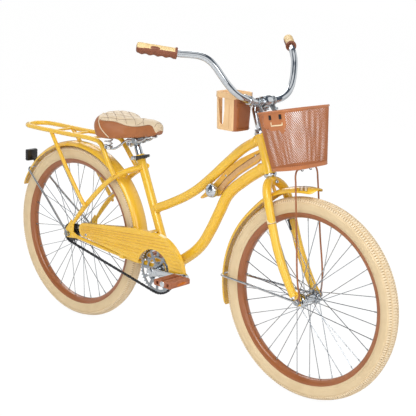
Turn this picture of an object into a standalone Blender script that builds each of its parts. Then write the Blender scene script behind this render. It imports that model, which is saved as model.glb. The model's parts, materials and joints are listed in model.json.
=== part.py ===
"""City bike with a step-through frame, cream tyres, front basket, cup holder and rear rack.

Metres, +Z up.  The front of the bike faces -Y and its left side faces +X.  The origin lies on
the floor under the middle of the bike.  Sizes are written in the rider's own directions:
forward from the rear axle, left from the middle plane, and up from the floor.
"""

import math

import bmesh
import bpy
from mathutils import Matrix, Vector

for old in list(bpy.data.objects):
    bpy.data.objects.remove(old, do_unlink=True)

# Gaps and facets

GAP = 0.0003
ROUND_SIDES = 10
WHEEL_STEPS = 36

# Wheels: 26 inch rims with wide tyres

TYRE_RADIUS = 0.3325
TYRE_WIDTH = 0.054
TREAD_FLAT = 0.016
RIM_OUTER = 0.286
RIM_INNER = 0.263
RIM_WIDTH = 0.034
SPOKE_COUNT = 36
SPOKE_RADIUS = 0.0010

# Frame layout

WHEELBASE = 1.100
CRANK_HEIGHT = 0.290
HEAD_ANGLE = math.radians(69.5)
SEAT_TUBE_LEAN = math.radians(23.7)
SEAT_TUBE_AHEAD = 0.022
FORK_OFFSET = 0.038
HEAD_TUBE_START = 0.4215
HEAD_TUBE_LENGTH = 0.132
HEAD_TUBE_RADIUS = 0.0185
HEAD_TUBE_WALL = 0.0025
TOP_TUBE_RADIUS = 0.0165
DOWN_TUBE_RADIUS = 0.0195
SEAT_TUBE_RADIUS = 0.0160
SEAT_TUBE_TOP = 0.682
SEAT_TUBE_WALL = 0.0025
SHELL_RADIUS = 0.0287
SHELL_WALL = 0.0030
SHELL_WIDTH = 0.068
SEATSTAY_RADIUS = 0.0080
CHAINSTAY_RADIUS = 0.0085
REAR_SPACING = 0.115
FRONT_SPACING = 0.100
DROPOUT_THICKNESS = 0.005
AXLE_RADIUS = 0.0048

# Chain drive

CHAIN_PITCH = 0.0127
CHAIN_LINKS = 104
RING_TEETH = 42
COG_TEETH = 18
CHAIN_LINE = 0.045
ROLLER_HALF = 0.0023
CHAIN_PLATE_HEIGHT = 0.0086
CHAIN_PLATE_THICKNESS = 0.0022
CHAIN_INNER_WIDTH = 0.0040
SPROCKET_THICKNESS = 0.0028
CRANK_LENGTH = 0.165
CRANK_ANGLE = math.radians(6.0)
SPINDLE_RADIUS = 0.0110

# Steering

STEERER_RADIUS = 0.0127
QUILL_RADIUS = 0.0108
BAR_RADIUS = 0.0111
BAR_CENTRE_RADIUS = 0.0127
BLADE_TOP_RADIUS = 0.0130
BLADE_TIP_RADIUS = 0.0085
BAR_ALONG = 0.650
BAR_AHEAD = 0.049
GRIP_LENGTH = 0.125
GRIP_RADIUS = 0.0165

# Fenders, rack and fittings

FENDER_RADIUS = 0.352
FENDER_EDGE_RADIUS = 0.337
FENDER_HALF_WIDTH = 0.033
FENDER_THICKNESS = 0.0012
STAY_WIDTH = 0.009
STAY_THICKNESS = 0.0022
RACK_HEIGHT = 0.716
RACK_RAIL_RADIUS = 0.0075
RACK_LEG_RADIUS = 0.0062
RACK_HALF_WIDTH = 0.054


def chain_length(centres):
    """Length of a taut chain round both sprockets whose centres are this far apart."""
    ring = RING_TEETH * CHAIN_PITCH / math.tau
    cog = COG_TEETH * CHAIN_PITCH / math.tau
    lean = math.asin((ring - cog) / centres)
    straight = math.sqrt(centres**2 - (ring - cog) ** 2)
    return 2 * straight + (math.pi + 2 * lean) * ring + (math.pi - 2 * lean) * cog


def taut_centres():
    """The wheel slides back in its slots until the whole number of links is taut."""
    low, high = 0.30, 0.60
    for _ in range(60):
        middle = (low + high) / 2
        if chain_length(middle) < CHAIN_LINKS * CHAIN_PITCH:
            low = middle
        else:
            high = middle
    return (low + high) / 2


CHAINSTAY_LENGTH = taut_centres()
CRANK_FORWARD = math.sqrt(CHAINSTAY_LENGTH**2 - (TYRE_RADIUS - CRANK_HEIGHT) ** 2)
RING_RADIUS = RING_TEETH * CHAIN_PITCH / math.tau
COG_RADIUS = COG_TEETH * CHAIN_PITCH / math.tau
MIDDLE = WHEELBASE / 2


# Places in the bike's own directions

def at(forward, left, up):
    """A point forward of the rear axle, left of the middle plane and above the floor."""
    return Vector((left, MIDDLE - forward, up))


LEFT = Vector((1, 0, 0))
FORWARD = Vector((0, -1, 0))
UP = Vector((0, 0, 1))
STEER_UP = (UP * math.sin(HEAD_ANGLE) - FORWARD * math.cos(HEAD_ANGLE)).normalized()
STEER_AHEAD = (FORWARD * math.sin(HEAD_ANGLE) + UP * math.cos(HEAD_ANGLE)).normalized()
REAR_AXLE = at(0, 0, TYRE_RADIUS)
FRONT_AXLE = at(WHEELBASE, 0, TYRE_RADIUS)
STEER_FOOT = FRONT_AXLE - STEER_AHEAD * FORK_OFFSET
CRANK_CENTRE = at(CRANK_FORWARD, 0, CRANK_HEIGHT)
SEAT_UP = (UP * math.cos(SEAT_TUBE_LEAN) - FORWARD * math.sin(SEAT_TUBE_LEAN)).normalized()


def steered(along, ahead, left):
    """A point measured on the steering axis, from the foot of the front axle."""
    return STEER_FOOT + STEER_UP * along + STEER_AHEAD * ahead + LEFT * left


def on_seat_tube(up):
    """The point of the seat tube's middle line at this height."""
    foot = CRANK_CENTRE + FORWARD * SEAT_TUBE_AHEAD
    return foot + SEAT_UP * ((up - CRANK_HEIGHT) / SEAT_UP.z)


def around(centre, radius, degrees, left=0.0):
    """A point round a wheel, counted from straight ahead upwards and over to the back."""
    turn = math.radians(degrees)
    return centre + (FORWARD * math.cos(turn) + UP * math.sin(turn)) * radius + LEFT * left


def smooth(points, pieces):
    """A smooth curve through the points, with this many pieces between neighbours."""
    ends = [2 * points[0] - points[1], *points, 2 * points[-1] - points[-2]]
    curve = []
    for a, b, c, d in zip(ends, ends[1:], ends[2:], ends[3:]):
        for step in range(pieces):
            t = step / pieces
            curve.append(
                (2 * b + (c - a) * t + (2 * a - 5 * b + 4 * c - d) * t**2
                 + (3 * b - a - 3 * c + d) * t**3) / 2
            )
    return [*curve, points[-1].copy()]


def rounded_path(corners, radius, pieces=5):
    """A path through the corners, each inner one rounded to about this radius."""
    path = [corners[0].copy()]
    for before, corner, after in zip(corners, corners[1:], corners[2:]):
        back = before - corner
        onward = after - corner
        half = back.angle(onward) / 2
        cut = min(radius / math.tan(half), back.length * 0.49, onward.length * 0.49)
        start = corner + back.normalized() * cut
        end = corner + onward.normalized() * cut
        for step in range(pieces + 1):
            t = step / pieces
            path.append(start * (1 - t) ** 2 + corner * 2 * t * (1 - t) + end * t**2)
    return [*path, corners[-1].copy()]


# Mesh building

def add_object(name, bm, smooth_angle=35.0):
    bmesh.ops.recalc_face_normals(bm, faces=bm.faces)
    mesh = bpy.data.meshes.new(name)
    bm.to_mesh(mesh)
    bm.free()
    mesh.shade_smooth()
    mesh.set_sharp_from_angle(angle=math.radians(smooth_angle))
    piece = bpy.data.objects.new(name, mesh)
    bpy.context.collection.objects.link(piece)
    return piece


def ring_faces(bm, rings, closed):
    """Joins neighbouring rings of vertices by quads."""
    pairs = list(zip(rings, rings[1:]))
    if closed:
        pairs.append((rings[-1], rings[0]))
    for first, second in pairs:
        count = len(first)
        for i in range(count):
            j = (i + 1) % count
            bm.faces.new((first[i], first[j], second[j], second[i]))


def circle(sides):
    return [
        (math.cos(math.tau * i / sides), math.sin(math.tau * i / sides)) for i in range(sides)
    ]


def sweep(name, path, size, section=None, side=None, sizes=None, closed=False):
    """A section swept along a path.  The section is a list of (across, upright) shares."""
    section = section or circle(ROUND_SIDES)
    count = len(path)
    tangents = []
    for i in range(count):
        before = path[i - 1] if i or closed else path[i]
        after = path[(i + 1) % count] if i < count - 1 or closed else path[i]
        tangents.append((after - before).normalized())
    across = side or (LEFT if abs(tangents[0].dot(LEFT)) < 0.9 else UP)
    bm = bmesh.new()
    rings = []
    for i, point in enumerate(path):
        across = (across - tangents[i] * across.dot(tangents[i])).normalized()
        upright = tangents[i].cross(across)
        scale = sizes[i] if sizes else size
        rings.append(
            [bm.verts.new(point + (across * a + upright * b) * scale) for a, b in section]
        )
    ring_faces(bm, rings, closed)
    if not closed:
        bm.faces.new(rings[0])
        bm.faces.new(rings[-1])
    return add_object(name, bm)


def lathe(name, profile, centre, axis, steps=14, start=0.0):
    """A closed profile of (radius, height) turned round an axis.

    A profile that begins and ends on the axis is solid, with a flat cap where it meets the axis
    squarely.
    """
    axis = axis.normalized()
    across = (UP if abs(axis.dot(UP)) < 0.9 else FORWARD)
    across = (across - axis * across.dot(axis)).normalized()
    other = axis.cross(across)
    bm = bmesh.new()
    capped = set()
    for end, beside in ((0, 1), (-1, -2)):
        if profile[end][0] == 0 and profile[end][1] == profile[beside][1]:
            capped.add(profile[end])
    columns = []
    for point in profile:
        radius, height = point
        if point in capped:
            continue
        if radius == 0:
            pole = bm.verts.new(centre + axis * height)
            columns.append([pole] * steps)
            continue
        columns.append([
            bm.verts.new(
                centre + axis * height
                + (across * math.cos(turn) + other * math.sin(turn)) * radius
            )
            for turn in (start + math.tau * k / steps for k in range(steps))
        ])
    pairs = list(zip(columns, columns[1:]))
    if profile[0][0] != 0:
        pairs.append((columns[-1], columns[0]))
    for first, second in pairs:
        for k in range(steps):
            n = (k + 1) % steps
            corners = list(dict.fromkeys((first[k], first[n], second[n], second[k])))
            if len(corners) > 2:
                bm.faces.new(corners)
    if profile[0] in capped:
        bm.faces.new(columns[0])
    if profile[-1] in capped:
        bm.faces.new(columns[-1])
    return add_object(name, bm)


def bore_radius(radius, steps):
    """The corner radius of a round hole with this many sides that clears a shaft of this radius."""
    return (radius + GAP) / math.cos(math.pi / steps)


def rod(name, start, end, radius, sides=ROUND_SIDES):
    return sweep(name, [start, end], radius, circle(sides))


def plate(name, outline, depth):
    """A flat outline given a depth along one direction."""
    bm = bmesh.new()
    near = [bm.verts.new(point) for point in outline]
    far = [bm.verts.new(point + depth) for point in outline]
    bm.faces.new(near)
    bm.faces.new(far)
    ring_faces(bm, [near, far], closed=False)
    return add_object(name, bm)


def inset_outline(outline, amount):
    """Each corner moved inwards along the bisector of its two edges."""
    count = len(outline)
    area = sum(
        outline[i][0] * outline[(i + 1) % count][1] - outline[(i + 1) % count][0] * outline[i][1]
        for i in range(count)
    )
    turn = 1 if area > 0 else -1
    moved = []
    for i in range(count):
        before = Vector(outline[i - 1])
        corner = Vector(outline[i])
        after = Vector(outline[(i + 1) % count])
        first = (corner - before).normalized()
        second = (after - corner).normalized()
        inward = Vector((-first.y - second.y, first.x + second.x)) * turn
        share = max(0.35, inward.length / 2)
        moved.append(corner + inward.normalized() * (amount / share))
    return [tuple(point) for point in moved]


def side_plate(name, outline, near, far, edge=0.0):
    """A plate parallel to the middle plane between two distances left of it."""
    if edge == 0.0:
        return plate(name, [at(f, near, z) for f, z in outline], LEFT * (far - near))
    inner = inset_outline(outline, edge)
    step = edge if far > near else -edge
    bm = bmesh.new()
    rings = [
        [bm.verts.new(at(f, left, z)) for f, z in ring]
        for ring, left in (
            (inner, near), (outline, near + step), (outline, far - step), (inner, far),
        )
    ]
    ring_faces(bm, rings, closed=False)
    bm.faces.new(rings[0])
    bm.faces.new(rings[-1])
    return add_object(name, bm)


def arc(forward, up, radius, start, end, pieces):
    """Points of an arc in the side plane, in degrees from straight ahead upwards."""
    return [
        (
            forward + radius * math.cos(math.radians(start + (end - start) * i / pieces)),
            up + radius * math.sin(math.radians(start + (end - start) * i / pieces)),
        )
        for i in range(pieces + 1)
    ]


def block(name, centre, size, turn=None):
    """A box with its size along X, Y and Z, turned by an optional matrix."""
    bm = bmesh.new()
    bmesh.ops.create_cube(bm, size=1.0, matrix=Matrix.Diagonal((*size, 1.0)))
    bm.transform(Matrix.Translation(centre) @ (turn or Matrix()))
    return add_object(name, bm)


def combine(target, tool, operation):
    """Joins or cuts with another object, which is used up."""
    modifier = target.modifiers.new(operation.title(), "BOOLEAN")
    modifier.operation = operation
    modifier.solver = "EXACT"
    modifier.object = tool
    graph = bpy.context.evaluated_depsgraph_get()
    mesh = bpy.data.meshes.new_from_object(target.evaluated_get(graph))
    target.modifiers.clear()
    old_mesh = target.data
    target.data = mesh
    mesh.name = target.name
    bpy.data.meshes.remove(old_mesh)
    bpy.data.objects.remove(tool, do_unlink=True)
    mesh.shade_smooth()
    mesh.set_sharp_from_angle(angle=math.radians(35.0))
    return target


def join(target, *tools):
    for tool in tools:
        combine(target, tool, "UNION")
    return target


def cut(target, *tools):
    for tool in tools:
        combine(target, tool, "DIFFERENCE")
    return target


# Finishes: colour, roughness, metallic

FINISHES = {
    "yellow_paint": ((0.93, 0.60, 0.10), 0.25, 0.0),
    "chrome": ((0.72, 0.74, 0.76), 0.12, 1.0),
    "zinc_steel": ((0.55, 0.56, 0.58), 0.35, 1.0),
    "dark_steel": ((0.10, 0.10, 0.11), 0.40, 0.8),
    "brown_paint": ((0.42, 0.18, 0.08), 0.35, 0.0),
    "cream_rubber": ((0.85, 0.70, 0.46), 0.65, 0.0),
    "brown_rubber": ((0.36, 0.16, 0.07), 0.55, 0.0),
    "cream_vinyl": ((0.84, 0.72, 0.54), 0.50, 0.0),
    "black_plastic": ((0.03, 0.03, 0.035), 0.35, 0.0),
}


def material(finish):
    found = bpy.data.materials.get(finish)
    if found:
        return found
    colour, roughness, metallic = FINISHES[finish]
    made = bpy.data.materials.new(finish)
    made.use_nodes = True
    shader = made.node_tree.nodes["Principled BSDF"]
    shader.inputs["Base Color"].default_value = (*colour, 1.0)
    shader.inputs["Roughness"].default_value = roughness
    shader.inputs["Metallic"].default_value = metallic
    return made


# Moving groups: each is an empty on its joint's axis

group_places = {}


def group(name, place, parent=None):
    empty = bpy.data.objects.new(name, None)
    empty.location = place
    bpy.context.collection.objects.link(empty)
    if parent:
        empty.parent = parent
        empty.location = place - group_places[parent.name]
    group_places[name] = place
    return empty


FRAME = group("frame_group", at(0, 0, 0))
STEERING = group("steering_group", STEER_FOOT, FRAME)
FRONT_WHEEL = group("front_wheel_group", FRONT_AXLE, STEERING)
REAR_WHEEL = group("rear_wheel_group", REAR_AXLE, FRAME)
CRANK = group("crank_group", CRANK_CENTRE, FRAME)
SEAT = group("seat_group", on_seat_tube(SEAT_TUBE_TOP), FRAME)


def fit(piece, owner, finish):
    """Gives a piece its finish and hangs it on its group with its place kept."""
    piece.data.materials.clear()
    piece.data.materials.append(material(finish))
    piece.parent = owner
    piece.matrix_parent_inverse = Matrix.Translation(-group_places[owner.name])
    return piece


# Frame tubes

HEAD_FORWARD = MIDDLE - steered(0.50, 0, 0).y
TOP_TUBE_PLACES = (
    (-0.0068, 0.826), (-0.0823, 0.783), (-0.1543, 0.722), (-0.2343, 0.649), (-0.3093, 0.590),
)
DOWN_TUBE_PLACES = (
    (-0.0793, 0.671), (-0.1453, 0.612), (-0.1813, 0.545), (-0.2173, 0.475), (-0.2593, 0.410),
)
TOP_TUBE_POINTS = [
    *[at(HEAD_FORWARD + back, 0, up) for back, up in TOP_TUBE_PLACES],
    on_seat_tube(0.534) + FORWARD * 0.0996, on_seat_tube(0.496),
]
DOWN_TUBE_POINTS = [
    steered(0.447, 0, 0), *[at(HEAD_FORWARD + back, 0, up) for back, up in DOWN_TUBE_PLACES],
    CRANK_CENTRE + FORWARD * 0.0996 + UP * 0.062, CRANK_CENTRE,
]


def head_tube_solid(name, grown):
    """The head tube as a solid that reaches past both its ends, for shaping the tubes that meet it."""
    radius = HEAD_TUBE_RADIUS + grown
    low = HEAD_TUBE_START - 0.03
    high = HEAD_TUBE_START + HEAD_TUBE_LENGTH + 0.03
    return lathe(
        name, [(0, low), (radius, low), (radius, high), (0, high)], STEER_FOOT, STEER_UP
    )


def seat_tube_solid(name, radius, low, high):
    reach = (high - low) / SEAT_UP.z
    return lathe(
        name, [(0, 0), (radius, 0), (radius, reach), (0, reach)], on_seat_tube(low), SEAT_UP
    )


def shell_solid(name, radius, width=SHELL_WIDTH):
    half = width / 2
    return lathe(
        name, [(0, -half), (radius, -half), (radius, half), (0, half)], CRANK_CENTRE, LEFT
    )


def make_head_tube():
    inner = HEAD_TUBE_RADIUS - HEAD_TUBE_WALL
    high = HEAD_TUBE_LENGTH
    rolled = HEAD_TUBE_RADIUS + 0.0015
    profile = [
        (inner, 0), (rolled, 0), (rolled, 0.008), (HEAD_TUBE_RADIUS, 0.011),
        (HEAD_TUBE_RADIUS, high - 0.011), (rolled, high - 0.008), (rolled, high), (inner, high),
    ]
    tube = lathe("head_tube", profile, STEER_FOOT + STEER_UP * HEAD_TUBE_START, STEER_UP)
    fit(tube, FRAME, "yellow_paint")


def make_shell():
    half = SHELL_WIDTH / 2
    inner = SHELL_RADIUS - SHELL_WALL
    profile = [(inner, -half), (SHELL_RADIUS, -half), (SHELL_RADIUS, half), (inner, half)]
    fit(lathe("bottom_bracket_shell", profile, CRANK_CENTRE, LEFT), FRAME, "yellow_paint")


def make_seat_tube():
    foot = CRANK_HEIGHT + 0.012
    tube = seat_tube_solid("seat_tube", SEAT_TUBE_RADIUS, foot, SEAT_TUBE_TOP)
    bore = seat_tube_solid("bore", SEAT_TUBE_RADIUS - SEAT_TUBE_WALL, 0.45, 0.75)
    cut(tube, bore, shell_solid("shell", SHELL_RADIUS + GAP))
    fit(tube, FRAME, "yellow_paint")


def make_main_tubes():
    top = sweep("top_tube", smooth(TOP_TUBE_POINTS, 2), TOP_TUBE_RADIUS)
    cut(
        top, head_tube_solid("head", 0.0015 + GAP),
        seat_tube_solid("seat", SEAT_TUBE_RADIUS + GAP, 0.30, 0.66),
    )
    fit(top, FRAME, "yellow_paint")
    down = sweep("down_tube", smooth(DOWN_TUBE_POINTS, 2), DOWN_TUBE_RADIUS)
    cut(
        down, head_tube_solid("head", 0.0015 + GAP), shell_solid("shell", SHELL_RADIUS + GAP),
        seat_tube_solid("seat", SEAT_TUBE_RADIUS + GAP, CRANK_HEIGHT - 0.02, 0.50),
    )
    fit(down, FRAME, "yellow_paint")


DROPOUT_LEFT = (REAR_SPACING + DROPOUT_THICKNESS) / 2
CHAINSTAY_PLACES = (
    (0.450, 0.0225, 0.2915), (0.385, 0.0325, 0.2975), (0.330, 0.0440, 0.3025),
    (0.200, DROPOUT_LEFT - 0.0065, 0.3145), (0.028, DROPOUT_LEFT, 0.3300),
)
SEATSTAY_PLACES = (
    (0.335, 0.0165, 0.6420), (0.292, 0.0400, 0.6240), (0.237, 0.0510, 0.5940),
    (0.180, DROPOUT_LEFT - 0.0060, 0.5480), (0.120, DROPOUT_LEFT - 0.0040, 0.4900),
    (0.068, DROPOUT_LEFT - 0.0025, 0.4330), (0.014, DROPOUT_LEFT, 0.3640),
)


def stay_path(places, side, pieces=2):
    return smooth([at(f, side * l, z) for f, l, z in places], pieces)


def stay_tube(name, places, side, radius):
    return sweep(name, stay_path(places, side), radius, circle(8))


def dropout_plate(name, side, grown=0.0):
    """The flat end that carries the rear axle in a slot open to the back."""
    outline = inset_outline([
        (-0.030, 0.3370), (-0.026, 0.3230), (-0.006, 0.3170), (0.012, 0.3190),
        (0.044, 0.3220), (0.044, 0.3370), (0.026, 0.3440), (0.028, 0.3780),
        (0.014, 0.3900), (-0.004, 0.3660), (-0.020, 0.3460),
    ], -grown)
    inner = side * (REAR_SPACING / 2 - grown)
    depth = LEFT * side * (DROPOUT_THICKNESS + 2 * grown)
    body = plate(name, [at(f, inner, z) for f, z in outline], depth)
    slot_half = AXLE_RADIUS + GAP
    slot = [
        (-0.060, TYRE_RADIUS - slot_half), (0.002, TYRE_RADIUS - slot_half),
        (0.0055, TYRE_RADIUS - 0.002), (0.0055, TYRE_RADIUS + 0.002),
        (0.002, TYRE_RADIUS + slot_half), (-0.060, TYRE_RADIUS + slot_half),
    ]
    start = side * (REAR_SPACING / 2 - 0.01)
    cut(body, plate("slot", [at(f, start, z) for f, z in slot], LEFT * side * 0.03))
    return body


def make_rear_triangle(side, name_end):
    stay = stay_tube(f"chainstay_{name_end}", CHAINSTAY_PLACES, side, CHAINSTAY_RADIUS)
    join(stay, dropout_plate("dropout", side))
    cut(stay, shell_solid("shell", SHELL_RADIUS + GAP, 0.10))
    fit(stay, FRAME, "yellow_paint")
    upper = stay_tube(f"seatstay_{name_end}", SEATSTAY_PLACES, side, SEATSTAY_RADIUS)
    cut(
        upper, seat_tube_solid("seat", SEAT_TUBE_RADIUS + GAP, 0.50, 0.75),
        dropout_plate("dropout", side, GAP),
    )
    fit(upper, FRAME, "yellow_paint")


# Headset, stem and handlebar

def make_headset():
    low = HEAD_TUBE_START - GAP
    high = HEAD_TUBE_START + HEAD_TUBE_LENGTH + GAP
    bore = bore_radius(STEERER_RADIUS, 12)
    nut_bore = bore_radius(STEERER_RADIUS, 8)
    lower = [
        (bore, -0.0125), (0.0165, -0.0125), (0.0200, -0.0090), (0.0215, -0.0030),
        (0.0215, 0), (bore, 0),
    ]
    upper = [
        (bore, 0), (0.0215, 0), (0.0215, 0.0030), (0.0195, 0.0080), (0.0165, 0.0100),
        (bore, 0.0100),
    ]
    locknut = [
        (nut_bore, 0.0103), (0.0190, 0.0103), (0.0190, 0.0165), (0.0175, 0.0185),
        (nut_bore, 0.0185),
    ]
    bottom = STEER_FOOT + STEER_UP * low
    fit(lathe("headset_lower_cup", lower, bottom, STEER_UP, 12), FRAME, "chrome")
    top = STEER_FOOT + STEER_UP * high
    fit(lathe("headset_upper_cup", upper, top, STEER_UP, 12), FRAME, "chrome")
    nut = lathe("headset_locknut", locknut, top, STEER_UP, steps=8)
    fit(nut, STEERING, "chrome")


FORK_CROWN_TOP = HEAD_TUBE_START - GAP - 0.0125 - GAP
FORK_PLACES = (
    (FORK_CROWN_TOP - 0.012, 0.000, 0.004), (FORK_CROWN_TOP - 0.020, 0.003, 0.026),
    (FORK_CROWN_TOP - 0.044, 0.008, 0.0455), (FORK_CROWN_TOP - 0.078, 0.010, 0.0525),
    (0.240, 0.010, 0.0545), (0.160, 0.013, 0.0545), (0.085, 0.024, 0.0545),
    (0.018, 0.035, 0.0545),
)
FORK_TOP = HEAD_TUBE_START + HEAD_TUBE_LENGTH + 0.019


def fork_blade(side):
    path = [steered(a, h, side * l) for a, h, l in FORK_PLACES]
    last = len(path) - 1
    sizes = [
        BLADE_TOP_RADIUS + (BLADE_TIP_RADIUS - BLADE_TOP_RADIUS) * max(0, i / last - 0.4) / 0.6
        for i in range(last + 1)
    ]
    blade = sweep("blade", path, 1.0, sizes=sizes)
    inner = side * FRONT_SPACING / 2
    outline = [
        (0.024, -0.008), (0.010, -0.012), (-0.006, -0.013), (-0.013, -0.006),
        (-0.013, 0.006), (-0.006, 0.011), (0.010, 0.010), (0.024, 0.006),
    ]
    tab = plate(
        "tab",
        [FRONT_AXLE + STEER_UP * a + STEER_AHEAD * h + LEFT * inner for a, h in outline],
        LEFT * side * 0.005,
    )
    half = AXLE_RADIUS + GAP
    slot = [
        (0.0052, -0.0024), (0.0052, 0.0024), (0.0024, half), (-0.03, half), (-0.03, -half),
        (0.0024, -half),
    ]
    slot_tool = plate(
        "slot",
        [FRONT_AXLE + STEER_UP * a + STEER_AHEAD * h + LEFT * side * 0.04 for a, h in slot],
        LEFT * side * 0.03,
    )
    join(blade, tab)
    return cut(blade, slot_tool)


def make_fork():
    crown = FORK_CROWN_TOP
    profile = [
        (0, crown - 0.024), (0.0120, crown - 0.024), (0.0165, crown - 0.018),
        (0.0185, crown - 0.004), (0.0165, crown), (STEERER_RADIUS, crown),
        (STEERER_RADIUS, FORK_TOP), (0, FORK_TOP),
    ]
    fork = lathe("fork", profile, STEER_FOOT, STEER_UP)
    join(fork, fork_blade(-1), fork_blade(1))
    bore = QUILL_RADIUS + GAP
    low = FORK_TOP - 0.085
    tool = lathe("bore", [(0, low), (bore, low), (bore, 0.70), (0, 0.70)], STEER_FOOT, STEER_UP)
    fit(cut(fork, tool), STEERING, "yellow_paint")


def make_stem():
    low = FORK_TOP - 0.070
    top = BAR_ALONG - 0.012
    quill = lathe(
        "stem",
        [(0, low), (QUILL_RADIUS, low), (QUILL_RADIUS, FORK_TOP + 0.002),
         (0.0125, FORK_TOP + 0.005), (0.0125, top), (0.0095, top + 0.006), (0, top + 0.007)],
        STEER_FOOT, STEER_UP,
    )
    arm_path = [steered(top - 0.010, 0.002, 0), steered(BAR_ALONG - 0.002, BAR_AHEAD - 0.006, 0)]
    arm = sweep("arm", arm_path, 1.0, sizes=[0.0120, 0.0140])
    half = 0.020
    clamp = lathe(
        "clamp", [(0, -half), (0.0180, -half), (0.0180, half), (0, half)],
        steered(BAR_ALONG, BAR_AHEAD, 0), LEFT,
    )
    ear = block(
        "ear", steered(BAR_ALONG, BAR_AHEAD, 0) - UP * 0.021, (0.026, 0.014, 0.014)
    )
    join(quill, arm, clamp, ear)
    reach = lathe(
        "bore", [(0, -0.1), (BAR_CENTRE_RADIUS + GAP, -0.1), (BAR_CENTRE_RADIUS + GAP, 0.1),
                 (0, 0.1)],
        steered(BAR_ALONG, BAR_AHEAD, 0), LEFT,
    )
    split = block(
        "split", steered(BAR_ALONG, BAR_AHEAD, 0) - UP * 0.024, (0.060, 0.0025, 0.028)
    )
    fit(cut(quill, reach, split), STEERING, "chrome")


BAR_CENTRE = steered(BAR_ALONG, BAR_AHEAD, 0)
BAR_FORWARD = MIDDLE - BAR_CENTRE.y
BAR_UP = BAR_CENTRE.z
BAR_PLACES = (
    (0.000, 0.0430, 0.000), (0.005, 0.0680, 0.004), (0.002, 0.1050, 0.015),
    (-0.008, 0.1370, 0.032), (-0.020, 0.1640, 0.059), (-0.034, 0.1860, 0.092),
    (-0.048, 0.2020, 0.120), (-0.063, 0.2145, 0.137), (-0.080, 0.2300, 0.147),
    (-0.099, 0.2520, 0.151), (-0.122, 0.2790, 0.153), (-0.210, 0.3740, 0.169),
)
CUP_CLAMP_BETWEEN = (1, 2)


def bar_half(side):
    """The right or left half of the bar from its middle outwards."""
    return [BAR_CENTRE + FORWARD * f + LEFT * side * l + UP * z for f, l, z in BAR_PLACES]


def grip_axis(side):
    start, end = bar_half(side)[-2:]
    return end, (end - start).normalized()


def make_handlebar():
    path = [*reversed(bar_half(-1)), *bar_half(1)]
    bar = sweep("handlebar", path, BAR_RADIUS)
    half = 0.0225
    sleeve = lathe(
        "sleeve",
        [(0, -half - 0.004), (BAR_RADIUS - 0.001, -half - 0.004), (BAR_CENTRE_RADIUS, -half),
         (BAR_CENTRE_RADIUS, half), (BAR_RADIUS - 0.001, half + 0.004), (0, half + 0.004)],
        BAR_CENTRE, LEFT,
    )
    fit(join(bar, sleeve), STEERING, "chrome")


def make_grip(side, name_end):
    end, axis = grip_axis(side)
    inner = bore_radius(BAR_RADIUS, 12)
    cap = 0.004
    profile = [
        (inner, cap - GRIP_LENGTH), (0.0185, cap - GRIP_LENGTH), (0.0185, cap - GRIP_LENGTH + 0.006),
        (0.0150, cap - GRIP_LENGTH + 0.010), (GRIP_RADIUS, -GRIP_LENGTH / 2), (0.0155, -0.020),
        (0.0165, -0.004), (0.0130, cap), (0, cap), (0, GAP), (inner, GAP),
    ]
    grip = lathe(f"grip_{name_end}", profile, end, axis, steps=12)
    fit(grip, STEERING, "cream_rubber")


# Wheels

def tyre_profile():
    """Half a wide tyre and its mirror; the tread's flat facets lie at the tyre's radius."""
    half = TYRE_WIDTH / 2
    flat = TREAD_FLAT / 2
    bead = RIM_OUTER + GAP
    tread = TYRE_RADIUS / math.cos(math.pi / WHEEL_STEPS)
    side = [
        (tread, flat), (TYRE_RADIUS - 0.008, half * 0.84), (TYRE_RADIUS - 0.026, half),
        (bead, half * 0.56),
    ]
    return [*side, *[(r, -h) for r, h in reversed(side)]]


def rim_profile():
    half = RIM_WIDTH / 2
    side = [
        (RIM_OUTER - 0.008, 0.0070), (RIM_OUTER, half - 0.0035), (RIM_OUTER, half),
        (RIM_INNER, half - 0.0070),
    ]
    return [*side, *[(r, -h) for r, h in reversed(side)]]


def spoke(centre, index, flange_radius, flange_left):
    """One spoke from a flange hole, leaning a little round the wheel, to the rim."""
    side = 1 if index % 2 else -1
    lean = 1 if (index // 2) % 2 else -1
    degrees = 360 * (index + 0.5) / SPOKE_COUNT
    inner = around(
        centre, flange_radius - 0.0030, degrees - lean * 62, side * (flange_left + lean * 0.0019)
    )
    reach = RIM_INNER - 2 * GAP
    outer = around(centre, reach, degrees, side * 0.003)
    return inner, outer


def make_hub(name, centre, shell_profile, flange_radius, flange_left, owner):
    hub = lathe(name, shell_profile, centre, LEFT, steps=10)
    bm = bmesh.new()
    section = circle(3)
    for index in range(SPOKE_COUNT):
        inner, outer = spoke(centre, index, flange_radius, flange_left)
        along = (outer - inner).normalized()
        across = (LEFT - along * LEFT.dot(along)).normalized()
        upright = along.cross(across)
        rings = [
            [bm.verts.new(point + (across * a + upright * b) * SPOKE_RADIUS) for a, b in section]
            for point in (inner, outer)
        ]
        ring_faces(bm, rings, closed=False)
        bm.faces.new(rings[0])
        bm.faces.new(rings[1])
    spokes = add_object("spokes", bm)
    fit(join(hub, spokes), owner, "chrome")


def hub_profile(flange_radius, flange_left, barrel_radius, bore, end_left):
    half = 0.0016
    outer = [
        (bore, end_left), (bore + 0.006, end_left), (flange_radius, flange_left + half),
        (flange_radius, flange_left - half), (barrel_radius, flange_left - half),
    ]
    return [*outer, *[(r, -h) for r, h in reversed(outer)]]


FRONT_FLANGE_RADIUS = 0.0190
FRONT_FLANGE_LEFT = 0.0330
REAR_FLANGE_RADIUS = 0.0290
REAR_FLANGE_LEFT = 0.0290


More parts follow.
